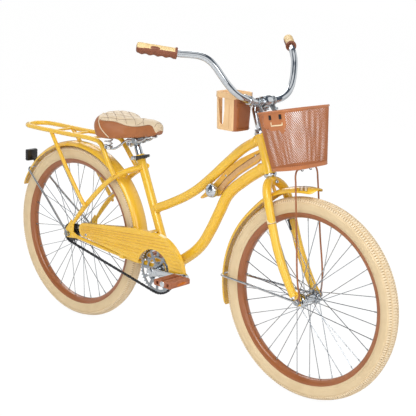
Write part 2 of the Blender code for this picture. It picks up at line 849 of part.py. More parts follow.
def make_wheels():
    for end, centre, owner in (
        ("front", FRONT_AXLE, FRONT_WHEEL), ("rear", REAR_AXLE, REAR_WHEEL),
    ):
        turn = math.pi / WHEEL_STEPS
        tyre = lathe(f"{end}_tyre", tyre_profile(), centre, LEFT, WHEEL_STEPS, turn)
        fit(tyre, owner, "cream_rubber")
        rim = lathe(f"{end}_rim", rim_profile(), centre, LEFT, WHEEL_STEPS, turn)
        fit(rim, owner, "brown_paint")
    bore = AXLE_RADIUS + 0.0010
    front = hub_profile(FRONT_FLANGE_RADIUS, FRONT_FLANGE_LEFT, 0.0125, bore, 0.0400)
    make_hub("front_hub", FRONT_AXLE, front, FRONT_FLANGE_RADIUS, FRONT_FLANGE_LEFT, FRONT_WHEEL)
    rear = hub_profile(REAR_FLANGE_RADIUS, REAR_FLANGE_LEFT, 0.0200, bore, 0.0385)
    make_hub("rear_hub", REAR_AXLE, rear, REAR_FLANGE_RADIUS, REAR_FLANGE_LEFT, REAR_WHEEL)


NUT_RADIUS = 0.0085
EYE_RADIUS = 0.0090
EYE_THICKNESS = 0.0020
REAR_EYE_LEFT = REAR_SPACING / 2 + DROPOUT_THICKNESS + GAP
FRONT_EYE_LEFT = FRONT_SPACING / 2 + DROPOUT_THICKNESS + GAP
ROD_EYE_LEFT = FRONT_EYE_LEFT + EYE_THICKNESS + GAP
BRAKE_ARM_THICKNESS = 0.0025
BRAKE_CLIP_FORWARD = 0.165
BRAKE_ARM_LEFT = REAR_SPACING / 2 - GAP - BRAKE_ARM_THICKNESS


def half_axle(cone_start, cone_end, nut_left):
    """Half of an axle: a cone nut inside the dropout and a track nut outside it."""
    return [
        (AXLE_RADIUS, cone_start), (0.0080, cone_start), (0.0080, cone_end),
        (AXLE_RADIUS, cone_end), (AXLE_RADIUS, nut_left), (NUT_RADIUS + 0.0015, nut_left),
        (NUT_RADIUS, nut_left + 0.009), (AXLE_RADIUS, nut_left + 0.009),
        (AXLE_RADIUS, nut_left + 0.014), (0, nut_left + 0.014),
    ]


def make_axles():
    front = half_axle(0.0425, FRONT_SPACING / 2 - GAP, ROD_EYE_LEFT + EYE_THICKNESS + GAP)
    nut = REAR_EYE_LEFT + EYE_THICKNESS + GAP
    rear_left = half_axle(0.0480, BRAKE_ARM_LEFT - GAP, nut)
    rear_right = half_axle(0.0495, REAR_SPACING / 2 - GAP, nut)
    for name, centre, left, right, owner in (
        ("front_axle", FRONT_AXLE, front, front, STEERING),
        ("rear_axle", REAR_AXLE, rear_left, rear_right, FRAME),
    ):
        profile = [*[(r, -h) for r, h in reversed(right)], *left]
        fit(lathe(name, profile, centre, LEFT, steps=8), owner, "zinc_steel")


# Tank panel and bell

TANK_PLACES = [
    (-0.0213, 0.7860), (-0.0493, 0.7700), (-0.0963, 0.7440), (-0.1443, 0.7080), (-0.1803, 0.6700),
    (-0.2183, 0.6290), (-0.2643, 0.5850), (-0.2663, 0.5790), (-0.2593, 0.5780), (-0.2293, 0.5920),
    (-0.2033, 0.5970), (-0.1833, 0.6000), (-0.1723, 0.6110), (-0.1543, 0.6400), (-0.1033, 0.6860),
    (-0.0593, 0.7170), (-0.0253, 0.7400), (-0.0103, 0.7560), (-0.0093, 0.7620), (-0.0173, 0.7840),
]
TANK_OUTLINE = [(HEAD_FORWARD + back, up) for back, up in TANK_PLACES]
TANK_HALF = 0.0080
BELL_FORWARD = HEAD_FORWARD - 0.1993
BELL_UP = 0.6200


def make_tank_panel():
    outline = inset_outline(TANK_OUTLINE, -0.0010)
    panel = side_plate("tank_panel", outline, -TANK_HALF, TANK_HALF, 0.0020)
    for back, up in ((-0.0303, 0.766), (-0.1543, 0.677)):
        head = lathe(
            "bolt", [(0, -0.0100), (0.0050, -0.0100), (0.0050, 0.0100), (0, 0.0100)],
            at(HEAD_FORWARD + back, 0, up), LEFT, steps=8,
        )
        join(panel, head)
    cut(panel, head_tube_solid("head", 0.0015 + GAP))
    fit(panel, FRAME, "yellow_paint")


def make_bell():
    centre = at(BELL_FORWARD, -(TANK_HALF + GAP), BELL_UP)
    base = lathe(
        "bell_base",
        [(0, 0), (0.0100, 0), (0.0100, 0.0090), (0.0205, 0.0115), (0.0205, 0.0135),
         (0.0033, 0.0135), (0.0033, 0.0330), (0.0055, 0.0330), (0.0055, 0.0350), (0, 0.0355)],
        centre, -LEFT, steps=10,
    )
    fit(base, FRAME, "black_plastic")
    dome = lathe(
        "bell_dome",
        [(0.0245, 0.0140), (0.0240, 0.0205), (0.0200, 0.0275), (0.0110, 0.0320),
         (0.0038, 0.0327), (0.0038, 0.0312), (0.0105, 0.0305), (0.0190, 0.0262),
         (0.0226, 0.0198), (0.0230, 0.0140)],
        centre, -LEFT, steps=14,
    )
    fit(dome, BELL, "chrome")


# Seat: collar, post, clamp, rails, springs and saddle

POST_RADIUS = SEAT_TUBE_RADIUS - SEAT_TUBE_WALL - GAP
POST_TOP_RADIUS = 0.0110
CLAMP_UP = 0.7340
CLAMP_AHEAD = 0.010
RAIL_RADIUS = 0.0035
RAIL_PLACES = (
    (0.206, 0.0550, 0.6953), (0.226, 0.0430, 0.6960), (0.241, 0.0335, 0.7060),
    (0.258, 0.0235, 0.7230), (0.276, 0.0200, 0.7325), (0.330, 0.0200, 0.7350),
    (0.350, 0.0195, 0.7420), (0.366, 0.0180, 0.7535), (0.384, 0.0120, 0.7570),
    (0.392, 0.0000, 0.7575),
)
SPRING_PLACE = (0.208, 0.0550)
SPRING_LOW = 0.7005
SPRING_HIGH = 0.7385
SADDLE_STATIONS = (
    (0.4260, 0.0080, 0.793, 0.783), (0.4200, 0.0190, 0.799, 0.774), (0.4020, 0.0260, 0.803, 0.767),
    (0.3700, 0.0300, 0.803, 0.759), (0.3300, 0.0360, 0.800, 0.750), (0.2900, 0.0500, 0.800, 0.743),
    (0.2550, 0.0750, 0.805, 0.738), (0.2200, 0.1030, 0.816, 0.736), (0.1920, 0.1130, 0.825, 0.737),
    (0.1680, 0.1060, 0.829, 0.742), (0.1520, 0.0840, 0.827, 0.750), (0.1440, 0.0500, 0.820, 0.760),
)
SADDLE_SECTION = (
    (0.00, 1.00), (0.42, 0.97), (0.78, 0.86), (0.96, 0.65), (1.00, 0.40), (0.93, 0.08),
    (0.84, 0.00), (0.42, 0.10), (0.00, 0.14),
)


def make_seat_collar():
    low = -0.020
    ring = SEAT_TUBE_RADIUS + 0.0040
    collar = lathe(
        "seat_collar",
        [(SEAT_TUBE_RADIUS + GAP, low), (ring, low), (ring, 0.0), (SEAT_TUBE_RADIUS + GAP, 0)],
        on_seat_tube(SEAT_TUBE_TOP), SEAT_UP,
    )
    behind = (FORWARD * math.cos(SEAT_TUBE_LEAN) + UP * math.sin(SEAT_TUBE_LEAN)) * -1
    middle = on_seat_tube(SEAT_TUBE_TOP) + SEAT_UP * (low / 2)
    tilt = Matrix.Rotation(-SEAT_TUBE_LEAN, 4, "X")
    ears = block("ears", middle + behind * (ring + 0.0025), (0.0160, 0.0110, 0.0180), tilt)
    join(collar, ears)
    split = block("split", middle + behind * (ring + 0.0020), (0.0025, 0.0200, 0.0300), tilt)
    cut(collar, split)
    bolt = rod(
        "bolt", middle + behind * (ring + 0.0035) - LEFT * 0.0125,
        middle + behind * (ring + 0.0035) + LEFT * 0.0125, 0.0030, 8,
    )
    fit(join(collar, bolt), FRAME, "chrome")


def rail_path():
    right = [at(f, -l, z) for f, l, z in RAIL_PLACES]
    left = [at(f, l, z) for f, l, z in reversed(RAIL_PLACES)]
    return smooth([*right, *left[1:]], 1)


def make_seatpost():
    low = (0.560 - SEAT_TUBE_TOP) / SEAT_UP.z
    shoulder = (0.706 - SEAT_TUBE_TOP) / SEAT_UP.z
    top = (CLAMP_UP + 0.0100 - SEAT_TUBE_TOP) / SEAT_UP.z
    post = lathe(
        "seatpost",
        [(0, low), (POST_RADIUS, low), (POST_RADIUS, shoulder), (POST_TOP_RADIUS, shoulder + 0.006),
         (POST_TOP_RADIUS, top), (0, top)],
        on_seat_tube(SEAT_TUBE_TOP), SEAT_UP,
    )
    fit(post, SEAT, "chrome")


def make_saddle_clamp():
    centre = on_seat_tube(CLAMP_UP)
    clamp = block("saddle_clamp", centre + FORWARD * CLAMP_AHEAD, (0.0560, 0.0480, 0.0230))
    bore = lathe(
        "bore", [(0, -0.06), (POST_TOP_RADIUS + GAP, -0.06), (POST_TOP_RADIUS + GAP, 0.06),
                 (0, 0.06)],
        centre, SEAT_UP,
    )
    ahead = centre + FORWARD * 0.0220
    bolt = rod("bolt", ahead - LEFT * 0.0340, ahead + LEFT * 0.0340, 0.0050, 8)
    join(clamp, bolt)
    rails = sweep("rails", rail_path(), bore_radius(RAIL_RADIUS, 6), circle(6))
    fit(cut(clamp, bore, rails), SEAT, "dark_steel")


def make_saddle_rails():
    wire = sweep("saddle_rails", rail_path(), RAIL_RADIUS, circle(5))
    for side in (-1, 1):
        foot = lathe(
            "foot",
            [(0, 0.6950), (0.0150, 0.6950), (0.0150, SPRING_LOW - GAP), (0, SPRING_LOW - GAP)],
            at(SPRING_PLACE[0], side * SPRING_PLACE[1], 0), UP, steps=12,
        )
        join(wire, foot)
    fit(wire, SEAT, "dark_steel")


def least_gap(path, apart, radius):
    """The narrowest space between two stretches of a tube at least this many points apart."""
    nearest = min(
        (path[j] - path[i]).length
        for i in range(len(path)) for j in range(i + apart, len(path))
    )
    return nearest - 2 * radius


def make_spring(side, name_end):
    """A coil between two round plates under one rear corner of the saddle."""
    forward, left = SPRING_PLACE
    centre = at(forward, side * left, 0)
    turns = 2.5
    steps = 20
    wire = 0.0022
    low = SPRING_LOW + wire + 0.0008
    high = SPRING_HIGH - wire - 0.0008
    path = []
    for i in range(steps + 1):
        turn = math.tau * turns * i / steps
        share = min(1.0, max(0.0, (i - 3) / (steps - 6)))
        path.append(
            centre + LEFT * 0.0135 * math.cos(turn) * side + FORWARD * 0.0135 * math.sin(turn)
            + UP * (low + (high - low) * share)
        )
    gap = least_gap(path, steps // 5, wire)
    print(f"saddle_spring_{name_end}: least gap to itself {gap * 1000:.1f} mm")
    spring = sweep(f"saddle_spring_{name_end}", path, wire, circle(4))
    for start, end in ((SPRING_LOW, SPRING_LOW + 0.0020), (SPRING_HIGH - 0.0020, SPRING_HIGH)):
        disc = lathe(
            "disc", [(0, start), (0.0165, start), (0.0165, end), (0, end)], centre, UP, steps=10
        )
        join(spring, disc)
    fit(spring, SEAT, "chrome")


def make_saddle():
    bm = bmesh.new()
    rings = []
    mirrored = [(-l, h) for l, h in reversed(SADDLE_SECTION[1:-1])]
    for forward, half, top, bottom in SADDLE_STATIONS:
        rings.append([
            bm.verts.new(at(forward, l * half, bottom + (top - bottom) * h))
            for l, h in (*SADDLE_SECTION, *mirrored)
        ])
    ring_faces(bm, rings, closed=False)
    bm.faces.new(rings[0])
    bm.faces.new(rings[-1])
    fit(add_object("saddle", bm), SEAT, "cream_vinyl")


# Fenders, their stays and the rear reflector

def fender_section(pieces=6):
    """Outer skin then inner skin, as (distance from the axle, left)."""
    outer = []
    inner = []
    rise = FENDER_RADIUS - FENDER_EDGE_RADIUS
    for i in range(pieces + 1):
        turn = math.pi * i / pieces
        outer.append(
            (FENDER_EDGE_RADIUS + rise * math.sin(turn), FENDER_HALF_WIDTH * math.cos(turn))
        )
        inner.append((
            FENDER_EDGE_RADIUS + (rise - FENDER_THICKNESS) * math.sin(turn),
            (FENDER_HALF_WIDTH - FENDER_THICKNESS) * math.cos(turn),
        ))
    return [*outer, *reversed(inner)]


def fender_shell(name, centre, start, end):
    pieces = round(abs(end - start) / 10.0)
    bm = bmesh.new()
    rings = []
    for i in range(pieces + 1):
        degrees = start + (end - start) * i / pieces
        rings.append(
            [bm.verts.new(around(centre, r, degrees, left)) for r, left in fender_section()]
        )
    ring_faces(bm, rings, closed=False)
    for ring in (rings[0], rings[-1]):
        count = len(ring)
        for i in range(count // 2 - 1):
            bm.faces.new((ring[i], ring[i + 1], ring[count - 2 - i], ring[count - 1 - i]))
    return add_object(name, bm)


def stay_over(centre, degrees, eye_left):
    """A flat strap from both ends of an axle that loops over the fender."""
    path = [around(centre, 0.0, degrees, eye_left + EYE_THICKNESS / 2)]
    path.append(around(centre, 0.036, degrees, eye_left + EYE_THICKNESS / 2))
    space = 0.0013 + STAY_THICKNESS / 2
    path.append(around(centre, 0.328, degrees, FENDER_HALF_WIDTH + space))
    half = FENDER_HALF_WIDTH + space
    rise = FENDER_RADIUS - FENDER_EDGE_RADIUS + space
    for i in range(7):
        turn = math.pi * i / 6
        path.append(around(
            centre, FENDER_EDGE_RADIUS + rise * math.sin(turn), degrees, half * math.cos(turn)
        ))
    path.append(around(centre, 0.328, degrees, -half))
    path.append(around(centre, 0.036, degrees, -(eye_left + EYE_THICKNESS / 2)))
    path.append(around(centre, 0.0, degrees, -(eye_left + EYE_THICKNESS / 2)))
    turn = math.radians(degrees)
    tangent = UP * math.cos(turn) - FORWARD * math.sin(turn)
    wide = STAY_WIDTH / 2
    thin = EYE_THICKNESS / 2 - 0.0001
    section = [(-wide, -thin), (wide, -thin), (wide, thin), (-wide, thin)]
    return sweep("stay", path, 1.0, section, tangent)


def eye(name, centre, left, side, radius=EYE_RADIUS):
    start = side * left
    depth = LEFT * side * EYE_THICKNESS
    outline = [centre + LEFT * start + (UP * a + FORWARD * b) * radius for a, b in circle(10)]
    return plate(name, outline, depth)


def axle_hole(centre):
    return lathe(
        "hole",
        [(0, -0.10), (bore_radius(AXLE_RADIUS, 8), -0.10), (bore_radius(AXLE_RADIUS, 8), 0.10),
         (0, 0.10)],
        centre, LEFT, steps=8,
    )


def make_fender_stays():
    for name, centre, degrees, left, owner in (
        ("rear_fender_stays", REAR_AXLE, 143.5, REAR_EYE_LEFT, FRAME),
        ("front_fender_stays", FRONT_AXLE, 179.0, FRONT_EYE_LEFT, STEERING),
    ):
        stays = stay_over(centre, degrees, left)
        stays.name = name
        join(stays, eye("eye", centre, left, 1), eye("eye", centre, left, -1))
        fit(cut(stays, axle_hole(centre)), owner, "yellow_paint")


def make_fenders():
    rear = fender_shell("rear_fender", REAR_AXLE, 158.0, 2.0)
    tab = sweep(
        "tab",
        [around(REAR_AXLE, FENDER_RADIUS - 0.001, 7.0), at(0.3640, 0, 0.3560),
         at(0.3760, 0, 0.3120)],
        1.0, [(-0.009, -0.0008), (0.009, -0.0008), (0.009, 0.0008), (-0.009, 0.0008)], LEFT,
    )
    brace = rod(
        "brace", around(REAR_AXLE, FENDER_RADIUS - 0.001, 47.5),
        around(REAR_AXLE, 0.3777, 47.5), 0.0050, 8,
    )
    fit(join(rear, tab, brace), FRAME, "yellow_paint")
    front = fender_shell("front_fender", FRONT_AXLE, 197.0, 87.0)
    bracket = rod(
        "bracket", around(FRONT_AXLE, FENDER_RADIUS - 0.001, 116.1),
        around(FRONT_AXLE, 0.3838, 116.1), 0.0060, 8,
    )
    fit(join(front, bracket), STEERING, "yellow_paint")


def make_bridges():
    """Short tubes between the stays that the rear fender is bolted to."""
    for name, forward, up, half, places in (
        ("seatstay_bridge", 0.2647, 0.6100, 0.0460, SEATSTAY_PLACES),
        ("chainstay_bridge", 0.3850, 0.2990, 0.0325, CHAINSTAY_PLACES),
    ):
        bridge = rod(name, at(forward, -half, up), at(forward, half, up), 0.0060, 10)
        radius = SEATSTAY_RADIUS if places is SEATSTAY_PLACES else CHAINSTAY_RADIUS
        for side in (-1, 1):
            cut(bridge, stay_tube("stay", places, side, radius + GAP))
        fit(bridge, FRAME, "yellow_paint")


def make_rear_reflector():
    centre = at(-0.3000, 0, 0.5875)
    body = block("rear_reflector", centre, (0.0500, 0.0160, 0.0450))
    lens = block("lens", centre - FORWARD * 0.0085, (0.0440, 0.0050, 0.0390))
    foot = rod(
        "foot", around(REAR_AXLE, FENDER_RADIUS + 0.0008, 139.6),
        around(REAR_AXLE, 0.3890, 139.6), 0.0060, 8,
    )
    fit(join(body, lens, foot), FRAME, "black_plastic")


# Rear rack

def make_rack():
    half = RACK_HALF_WIDTH
    foot_left = DROPOUT_LEFT + 0.0125
    right = [
        at(0.2510, -0.0655, 0.6010), at(0.2120, -0.0605, 0.6480), at(0.1780, -0.0550, 0.6930),
        at(0.1600, -half, 0.7100), at(0.1350, -half, RACK_HEIGHT), at(-0.2300, -half, RACK_HEIGHT),
        at(-0.2620, -0.0480, RACK_HEIGHT), at(-0.2810, -0.0280, RACK_HEIGHT),
        at(-0.2870, 0, RACK_HEIGHT),
    ]
    left = [Vector((-p.x, p.y, p.z)) for p in reversed(right[:-1])]
    rack = sweep("rear_rack", [*right, *left], RACK_RAIL_RADIUS, circle(8))
    for side in (-1, 1):
        leg = sweep(
            "leg",
            [at(-0.1160, side * half, 0.7140), at(-0.0400, side * 0.0640, 0.6260),
             at(0.0500, side * (foot_left - 0.0005), 0.5220), at(0.0950, side * foot_left, 0.4700)],
            RACK_LEG_RADIUS, circle(6),
        )
        join(rack, leg)
    for forward in (-0.1160, -0.0150, 0.0900):
        bar = rod(
            "bar", at(forward, -half, RACK_HEIGHT - 0.0020), at(forward, half, RACK_HEIGHT - 0.0020),
            0.0045, 6,
        )
        join(rack, bar)
    post = rod(
        "post", at(-0.0150, 0, RACK_HEIGHT - 0.0020),
        at(-0.0150, 0, TYRE_RADIUS + FENDER_RADIUS + 0.0006), 0.0050, 8,
    )
    fit(join(rack, post), FRAME, "yellow_paint")


# Drive: chain, ring, cog, crank and pedals

def chain_place(length):
    """The point and the direction of travel at this length along the taut chain's middle line."""
    ring = (CRANK_FORWARD, CRANK_HEIGHT)
    cog = (0.0, TYRE_RADIUS)
    slope = math.atan2(CRANK_HEIGHT - TYRE_RADIUS, CRANK_FORWARD)
    lean = math.asin((RING_RADIUS - COG_RADIUS) / CHAINSTAY_LENGTH)
    straight = math.sqrt(CHAINSTAY_LENGTH**2 - (RING_RADIUS - COG_RADIUS) ** 2)
    upper = slope + math.pi / 2 + lean
    lower = slope - math.pi / 2 - lean
    ring_wrap = (upper - lower) * RING_RADIUS
    cog_wrap = (math.tau - (upper - lower)) * COG_RADIUS
    length = length % (2 * straight + ring_wrap + cog_wrap)
    if length < ring_wrap:
        turn = lower + length / RING_RADIUS
        return polar(ring, RING_RADIUS, turn), turn + math.pi / 2
    length -= ring_wrap
    if length < straight:
        start = polar(ring, RING_RADIUS, upper)
        heading = upper + math.pi / 2
        return polar(start, length, heading), heading
    length -= straight
    if length < cog_wrap:
        turn = upper + length / COG_RADIUS
        return polar(cog, COG_RADIUS, turn), turn + math.pi / 2
    length -= cog_wrap
    heading = lower + math.pi / 2
    return polar(polar(cog, COG_RADIUS, lower), length, heading), heading


def polar(centre, radius, turn):
    return (centre[0] + radius * math.cos(turn), centre[1] + radius * math.sin(turn))


def roller_turn(centre, first):
    """The turn about a sprocket's centre at which a roller lies."""
    place, _ = chain_place(first * CHAIN_PITCH)
    return math.atan2(place[1] - centre[1], place[0] - centre[0])


def make_chain():
    """One closed ladder: side plates along both edges and a roller at every pitch.

    The gap between neighbouring rollers is a window that the sprockets' teeth enter.
    """
    bm = bmesh.new()
    half = CHAIN_PLATE_HEIGHT / 2
    edge = (ROLLER_HALF / CHAIN_PITCH, 1 - ROLLER_HALF / CHAIN_PITCH)
    outside = CHAIN_INNER_WIDTH / 2 + CHAIN_PLATE_THICKNESS
    pins = []
    for i in range(CHAIN_LINKS):
        (f, z), heading = chain_place(i * CHAIN_PITCH)
        out = (math.sin(heading) * half, -math.cos(heading) * half)
        pins.append([(f + s * out[0], z + s * out[1]) for s in (1, -1)])
    corners = [
        [[bm.verts.new(at(f, left - CHAIN_LINE, z)) for left in (-outside, outside)]
         for f, z in pin]
        for pin in pins
    ]
    for i in range(CHAIN_LINKS):
        here, onward = corners[i - 1], corners[i]
        walls = []
        for skin in (0, 1):
            (f0, z0), (f1, z1) = pins[i - 1][skin], pins[i][skin]
            window = [
                bm.verts.new(at(f0 + (f1 - f0) * t, left - CHAIN_LINE, z0 + (z1 - z0) * t))
                for t, left in (
                    (edge[0], -CHAIN_INNER_WIDTH / 2), (edge[1], -CHAIN_INNER_WIDTH / 2),
                    (edge[1], CHAIN_INNER_WIDTH / 2), (edge[0], CHAIN_INNER_WIDTH / 2),
                )
            ]
            loop = [here[skin][0], onward[skin][0], onward[skin][1], here[skin][1]]
            for k in range(4):
                n = (k + 1) % 4
                bm.faces.new((loop[k], loop[n], window[n], window[k]))
            walls.append(window)
        ring_faces(bm, walls, closed=False)
        for side in (0, 1):
            bm.faces.new((here[0][side], onward[0][side], onward[1][side], here[1][side]))
    fit(add_object("chain", bm), FRAME, "dark_steel")


def sprocket_outline(centre, teeth, first_turn):
    """Pointed teeth with a flat valley under each roller."""
    pitch_radius = teeth * CHAIN_PITCH / math.tau
    root = pitch_radius - CHAIN_PLATE_HEIGHT / 2 - 2 * GAP
    outline = []
    for k in range(teeth):
        valley = first_turn + math.tau * k / teeth
        tip = valley + math.pi / teeth
        for turn, radius, across in (
            (valley, root, -0.0031), (valley, root, 0.0031), (tip, pitch_radius + 0.0032, 0.0),
        ):
            place = polar(centre, radius, turn)
            outline.append(polar(place, across, turn + math.pi / 2))
    return outline


OUTER_WINDOWS = 12
INNER_WINDOWS = 6


def window_outline(centre, middle, low, high, low_half, high_half):
    """A window whose ends are arcs about the centre and whose sides spread outwards."""
    return [
        *[polar(centre, low, middle + low_half * k) for k in (1, 0, -1)],
        *[polar(centre, high, middle + high_half * k) for k in (-1, 0, 1)],
    ]


def make_chainring():
    centre = (CRANK_FORWARD, CRANK_HEIGHT)
    near = -CHAIN_LINE - SPROCKET_THICKNESS / 2
    far = -CHAIN_LINE + SPROCKET_THICKNESS / 2
    outline = sprocket_outline(centre, RING_TEETH, roller_turn(centre, 3))
    ring = side_plate("chainring", outline, near, far)
    for count, low, high, low_half, high_half in (
        (OUTER_WINDOWS, 0.0530, 0.0715, 0.150, 0.185), (INNER_WINDOWS, 0.0240, 0.0450, 0.330, 0.400),
    ):
        for k in range(count):
            middle = math.tau * (k + 0.5) / count
            window = window_outline(centre, middle, low, high, low_half, high_half)
            cut(ring, side_plate("window", window, near - 0.01, far + 0.01))
    hole = [polar(centre, bore_radius(SPINDLE_RADIUS, 20), math.tau * k / 20) for k in range(20)]
    cut(ring, side_plate("hole", hole, near - 0.01, far + 0.01))
    fit(ring, CRANK, "chrome")


def make_cog():
    centre = (0.0, TYRE_RADIUS)
    outline = sprocket_outline(centre, COG_TEETH, roller_turn(centre, 60))
    cog = side_plate(
        "rear_cog", outline, -CHAIN_LINE - SPROCKET_THICKNESS / 2,
        -CHAIN_LINE + SPROCKET_THICKNESS / 2,
    )
    boss = lathe(
        "boss", [(0, -0.0475), (0.0130, -0.0475), (0.0170, -0.0440), (0.0170, -0.0388),
                 (0, -0.0388)],
        REAR_AXLE, LEFT, steps=12,
    )
    join(cog, boss)
    hole = lathe(
        "hole", [(0, -0.07), (AXLE_RADIUS + 0.0010, -0.07), (AXLE_RADIUS + 0.0010, -0.02),
                 (0, -0.02)],
        REAR_AXLE, LEFT, steps=10,
    )
    fit(cut(cog, hole), REAR_WHEEL, "zinc_steel")


GUARD_NEAR = REAR_EYE_LEFT + EYE_THICKNESS + 0.0020
GUARD_FAR = GUARD_NEAR + 0.0012
GUARD_FLANGE = 0.0520
ARM_INNER = GUARD_FAR + 0.0040
ARM_OUTER = ARM_INNER + 0.0120
PEDAL_NEAR = ARM_OUTER + 0.0110
PEDAL_FAR = PEDAL_NEAR + 0.0950


def pedal_place(side, left=0.0):
    turn = math.degrees(CRANK_ANGLE) if side < 0 else math.degrees(CRANK_ANGLE) + 180
    return around(CRANK_CENTRE, CRANK_LENGTH, turn, left)


def crank_arm(side):
    start = CRANK_CENTRE
    end = pedal_place(side)
    along = (end - start).normalized()
    across = along.cross(LEFT).normalized()
    outline = []
    for length, half in ((0.0, 0.0150), (0.030, 0.0125), (0.135, 0.0100), (0.160, 0.0120)):
        outline.append((length, half))
    points = [start + along * l + across * h for l, h in outline]
    points += [start + along * (CRANK_LENGTH + 0.012) + across * 0.006,
               start + along * (CRANK_LENGTH + 0.012) - across * 0.006]
    points += [start + along * l - across * h for l, h in reversed(outline)]
    inner = side * ARM_INNER
    arm = plate("arm", [p + LEFT * inner for p in points], LEFT * side * (ARM_OUTER - ARM_INNER))
    eye_end = lathe(
        "eye", [(0, ARM_INNER - 0.0005), (0.0135, ARM_INNER - 0.0005), (0.0135, ARM_OUTER + 0.0005),
                (0, ARM_OUTER + 0.0005)],
        end, LEFT * side, steps=12,
    )
    boss = lathe(
        "boss", [(0, ARM_INNER - 0.0005), (0.0175, ARM_INNER - 0.0005), (0.0175, ARM_OUTER + 0.0005),
                 (0.0150, ARM_OUTER + 0.0020), (0, ARM_OUTER + 0.0020)],
        start, LEFT * side, steps=12,
    )
    return join(arm, eye_end, boss)


PEDAL_SPINDLE_RADIUS = 0.0065


def make_crank():
    half = ARM_INNER + 0.004
    crank = lathe(
        "crank",
        [(0, -half), (SPINDLE_RADIUS, -half), (SPINDLE_RADIUS, -0.0480), (0.0145, -0.0480),
         (0.0145, -CHAIN_LINE - SPROCKET_THICKNESS / 2 - GAP),
         (SPINDLE_RADIUS, -CHAIN_LINE - SPROCKET_THICKNESS / 2 - GAP), (SPINDLE_RADIUS, half),
         (0, half)],
        CRANK_CENTRE, LEFT,
    )
    join(crank, crank_arm(-1), crank_arm(1))
    for side in (-1, 1):
        hole = lathe(
            "hole",
            [(0, 0.05), (bore_radius(PEDAL_SPINDLE_RADIUS, 10), 0.05),
             (bore_radius(PEDAL_SPINDLE_RADIUS, 10), 0.15), (0, 0.15)],
            pedal_place(side), LEFT * side, steps=10,
        )
        cut(crank, hole)
    fit(crank, CRANK, "chrome")


def make_pedal(side, name_end, owner):
    centre = pedal_place(side)
    spindle = lathe(
        f"pedal_spindle_{name_end}",
        [(0, ARM_INNER + 0.0020), (PEDAL_SPINDLE_RADIUS, ARM_INNER + 0.0020),
         (PEDAL_SPINDLE_RADIUS, ARM_OUTER + 0.0010), (0.0095, ARM_OUTER + 0.0010),
         (0.0095, ARM_OUTER + 0.0040), (0.0045, ARM_OUTER + 0.0050), (0.0045, PEDAL_FAR),
         (0, PEDAL_FAR)],
        centre, LEFT * side, steps=8,
    )
    fit(spindle, CRANK, "zinc_steel")
    near = side * PEDAL_NEAR
    far = side * PEDAL_FAR
    forward = (centre - at(0, 0, 0)).dot(FORWARD)
    body = []
    for sign in (-1, 1):
        block_outline = [
            (forward + sign * f, centre.z + z)
            for f, z in ((0.0150, -0.0130), (0.0340, -0.0140), (0.0400, -0.0090),
                         (0.0400, 0.0090), (0.0340, 0.0140), (0.0150, 0.0130))
        ]
        body.append(side_plate("tread", block_outline, near, far, 0.0010))
    pedal = side_plate(
        f"pedal_{name_end}",
        [(forward + f, centre.z + z) for f, z in (
            (-0.0300, -0.0090), (0.0300, -0.0090), (0.0300, 0.0090), (-0.0300, 0.0090))],
        near + side * 0.0010, near + side * 0.0060,
    )
    outer = side_plate(
        "outer",
        [(forward + f, centre.z + z) for f, z in (
            (-0.0300, -0.0090), (0.0300, -0.0090), (0.0300, 0.0090), (-0.0300, 0.0090))],
        far - side * 0.0060, far - side * 0.0010,
    )
    barrel = lathe(
        "barrel",
        [(0, PEDAL_NEAR + 0.0015), (0.0100, PEDAL_NEAR + 0.0015), (0.0100, PEDAL_FAR - 0.0015),
         (0, PEDAL_FAR - 0.0015)],
        centre, LEFT * side, steps=8,
    )
    join(pedal, outer, barrel, *body)
    hole = lathe(
        "hole", [(0, 0.06), (0.0050, 0.06), (0.0050, 0.25), (0, 0.25)], centre, LEFT * side,
        steps=8,
    )
    fit(cut(pedal, hole), owner, "brown_rubber")


def make_cups():
    for side, name_end in ((-1, "right"), (1, "left")):
        start = SHELL_WIDTH / 2 + GAP
        bore = bore_radius(SPINDLE_RADIUS, 14)
        inner = SHELL_RADIUS - SHELL_WALL - GAP
        cup = lathe(
            f"bottom_bracket_cup_{name_end}",
            [(bore, start - 0.012), (inner, start - 0.012), (inner, start), (SHELL_RADIUS, start),
             (SHELL_RADIUS - 0.006, start + 0.0040), (bore, start + 0.0040)],
            CRANK_CENTRE, LEFT * side,
        )
        fit(cup, FRAME, "chrome")


def make_brake_arm():
    outline = [
        *arc(0.0, TYRE_RADIUS, 0.0115, -10, 235, 6), (0.0400, 0.3030), (0.1630, 0.2900),
        (0.1700, 0.2930), (0.1700, 0.3020), (0.1640, 0.3030), (0.0420, 0.3180),
        (0.0170, 0.3215),
    ]
    arm = side_plate(
        "coaster_brake_arm", outline, BRAKE_ARM_LEFT, BRAKE_ARM_LEFT + BRAKE_ARM_THICKNESS
    )
    places = stay_path(CHAINSTAY_PLACES, 1)
    for here, onward in zip(places, places[1:]):
        if here.y <= MIDDLE - BRAKE_CLIP_FORWARD <= onward.y:
            break
    share = (MIDDLE - BRAKE_CLIP_FORWARD - here.y) / (onward.y - here.y)
    middle = here.lerp(onward, share)
    along = (onward - here).normalized()
    inner = bore_radius(CHAINSTAY_RADIUS, 16)
    band = lathe(
        "band", [(inner, -0.006), (inner + 0.0016, -0.006), (inner + 0.0016, 0.006),
                 (inner, 0.006)],
        middle, along,
    )
    ear = block(
        "ear", Vector((BRAKE_ARM_LEFT + 0.0008, middle.y, middle.z - 0.0141)),
        (0.0050, 0.0100, 0.0092),
    )
    join(arm, band, ear)
    fit(cut(arm, axle_hole(REAR_AXLE)), FRAME, "zinc_steel")


# Chain guard



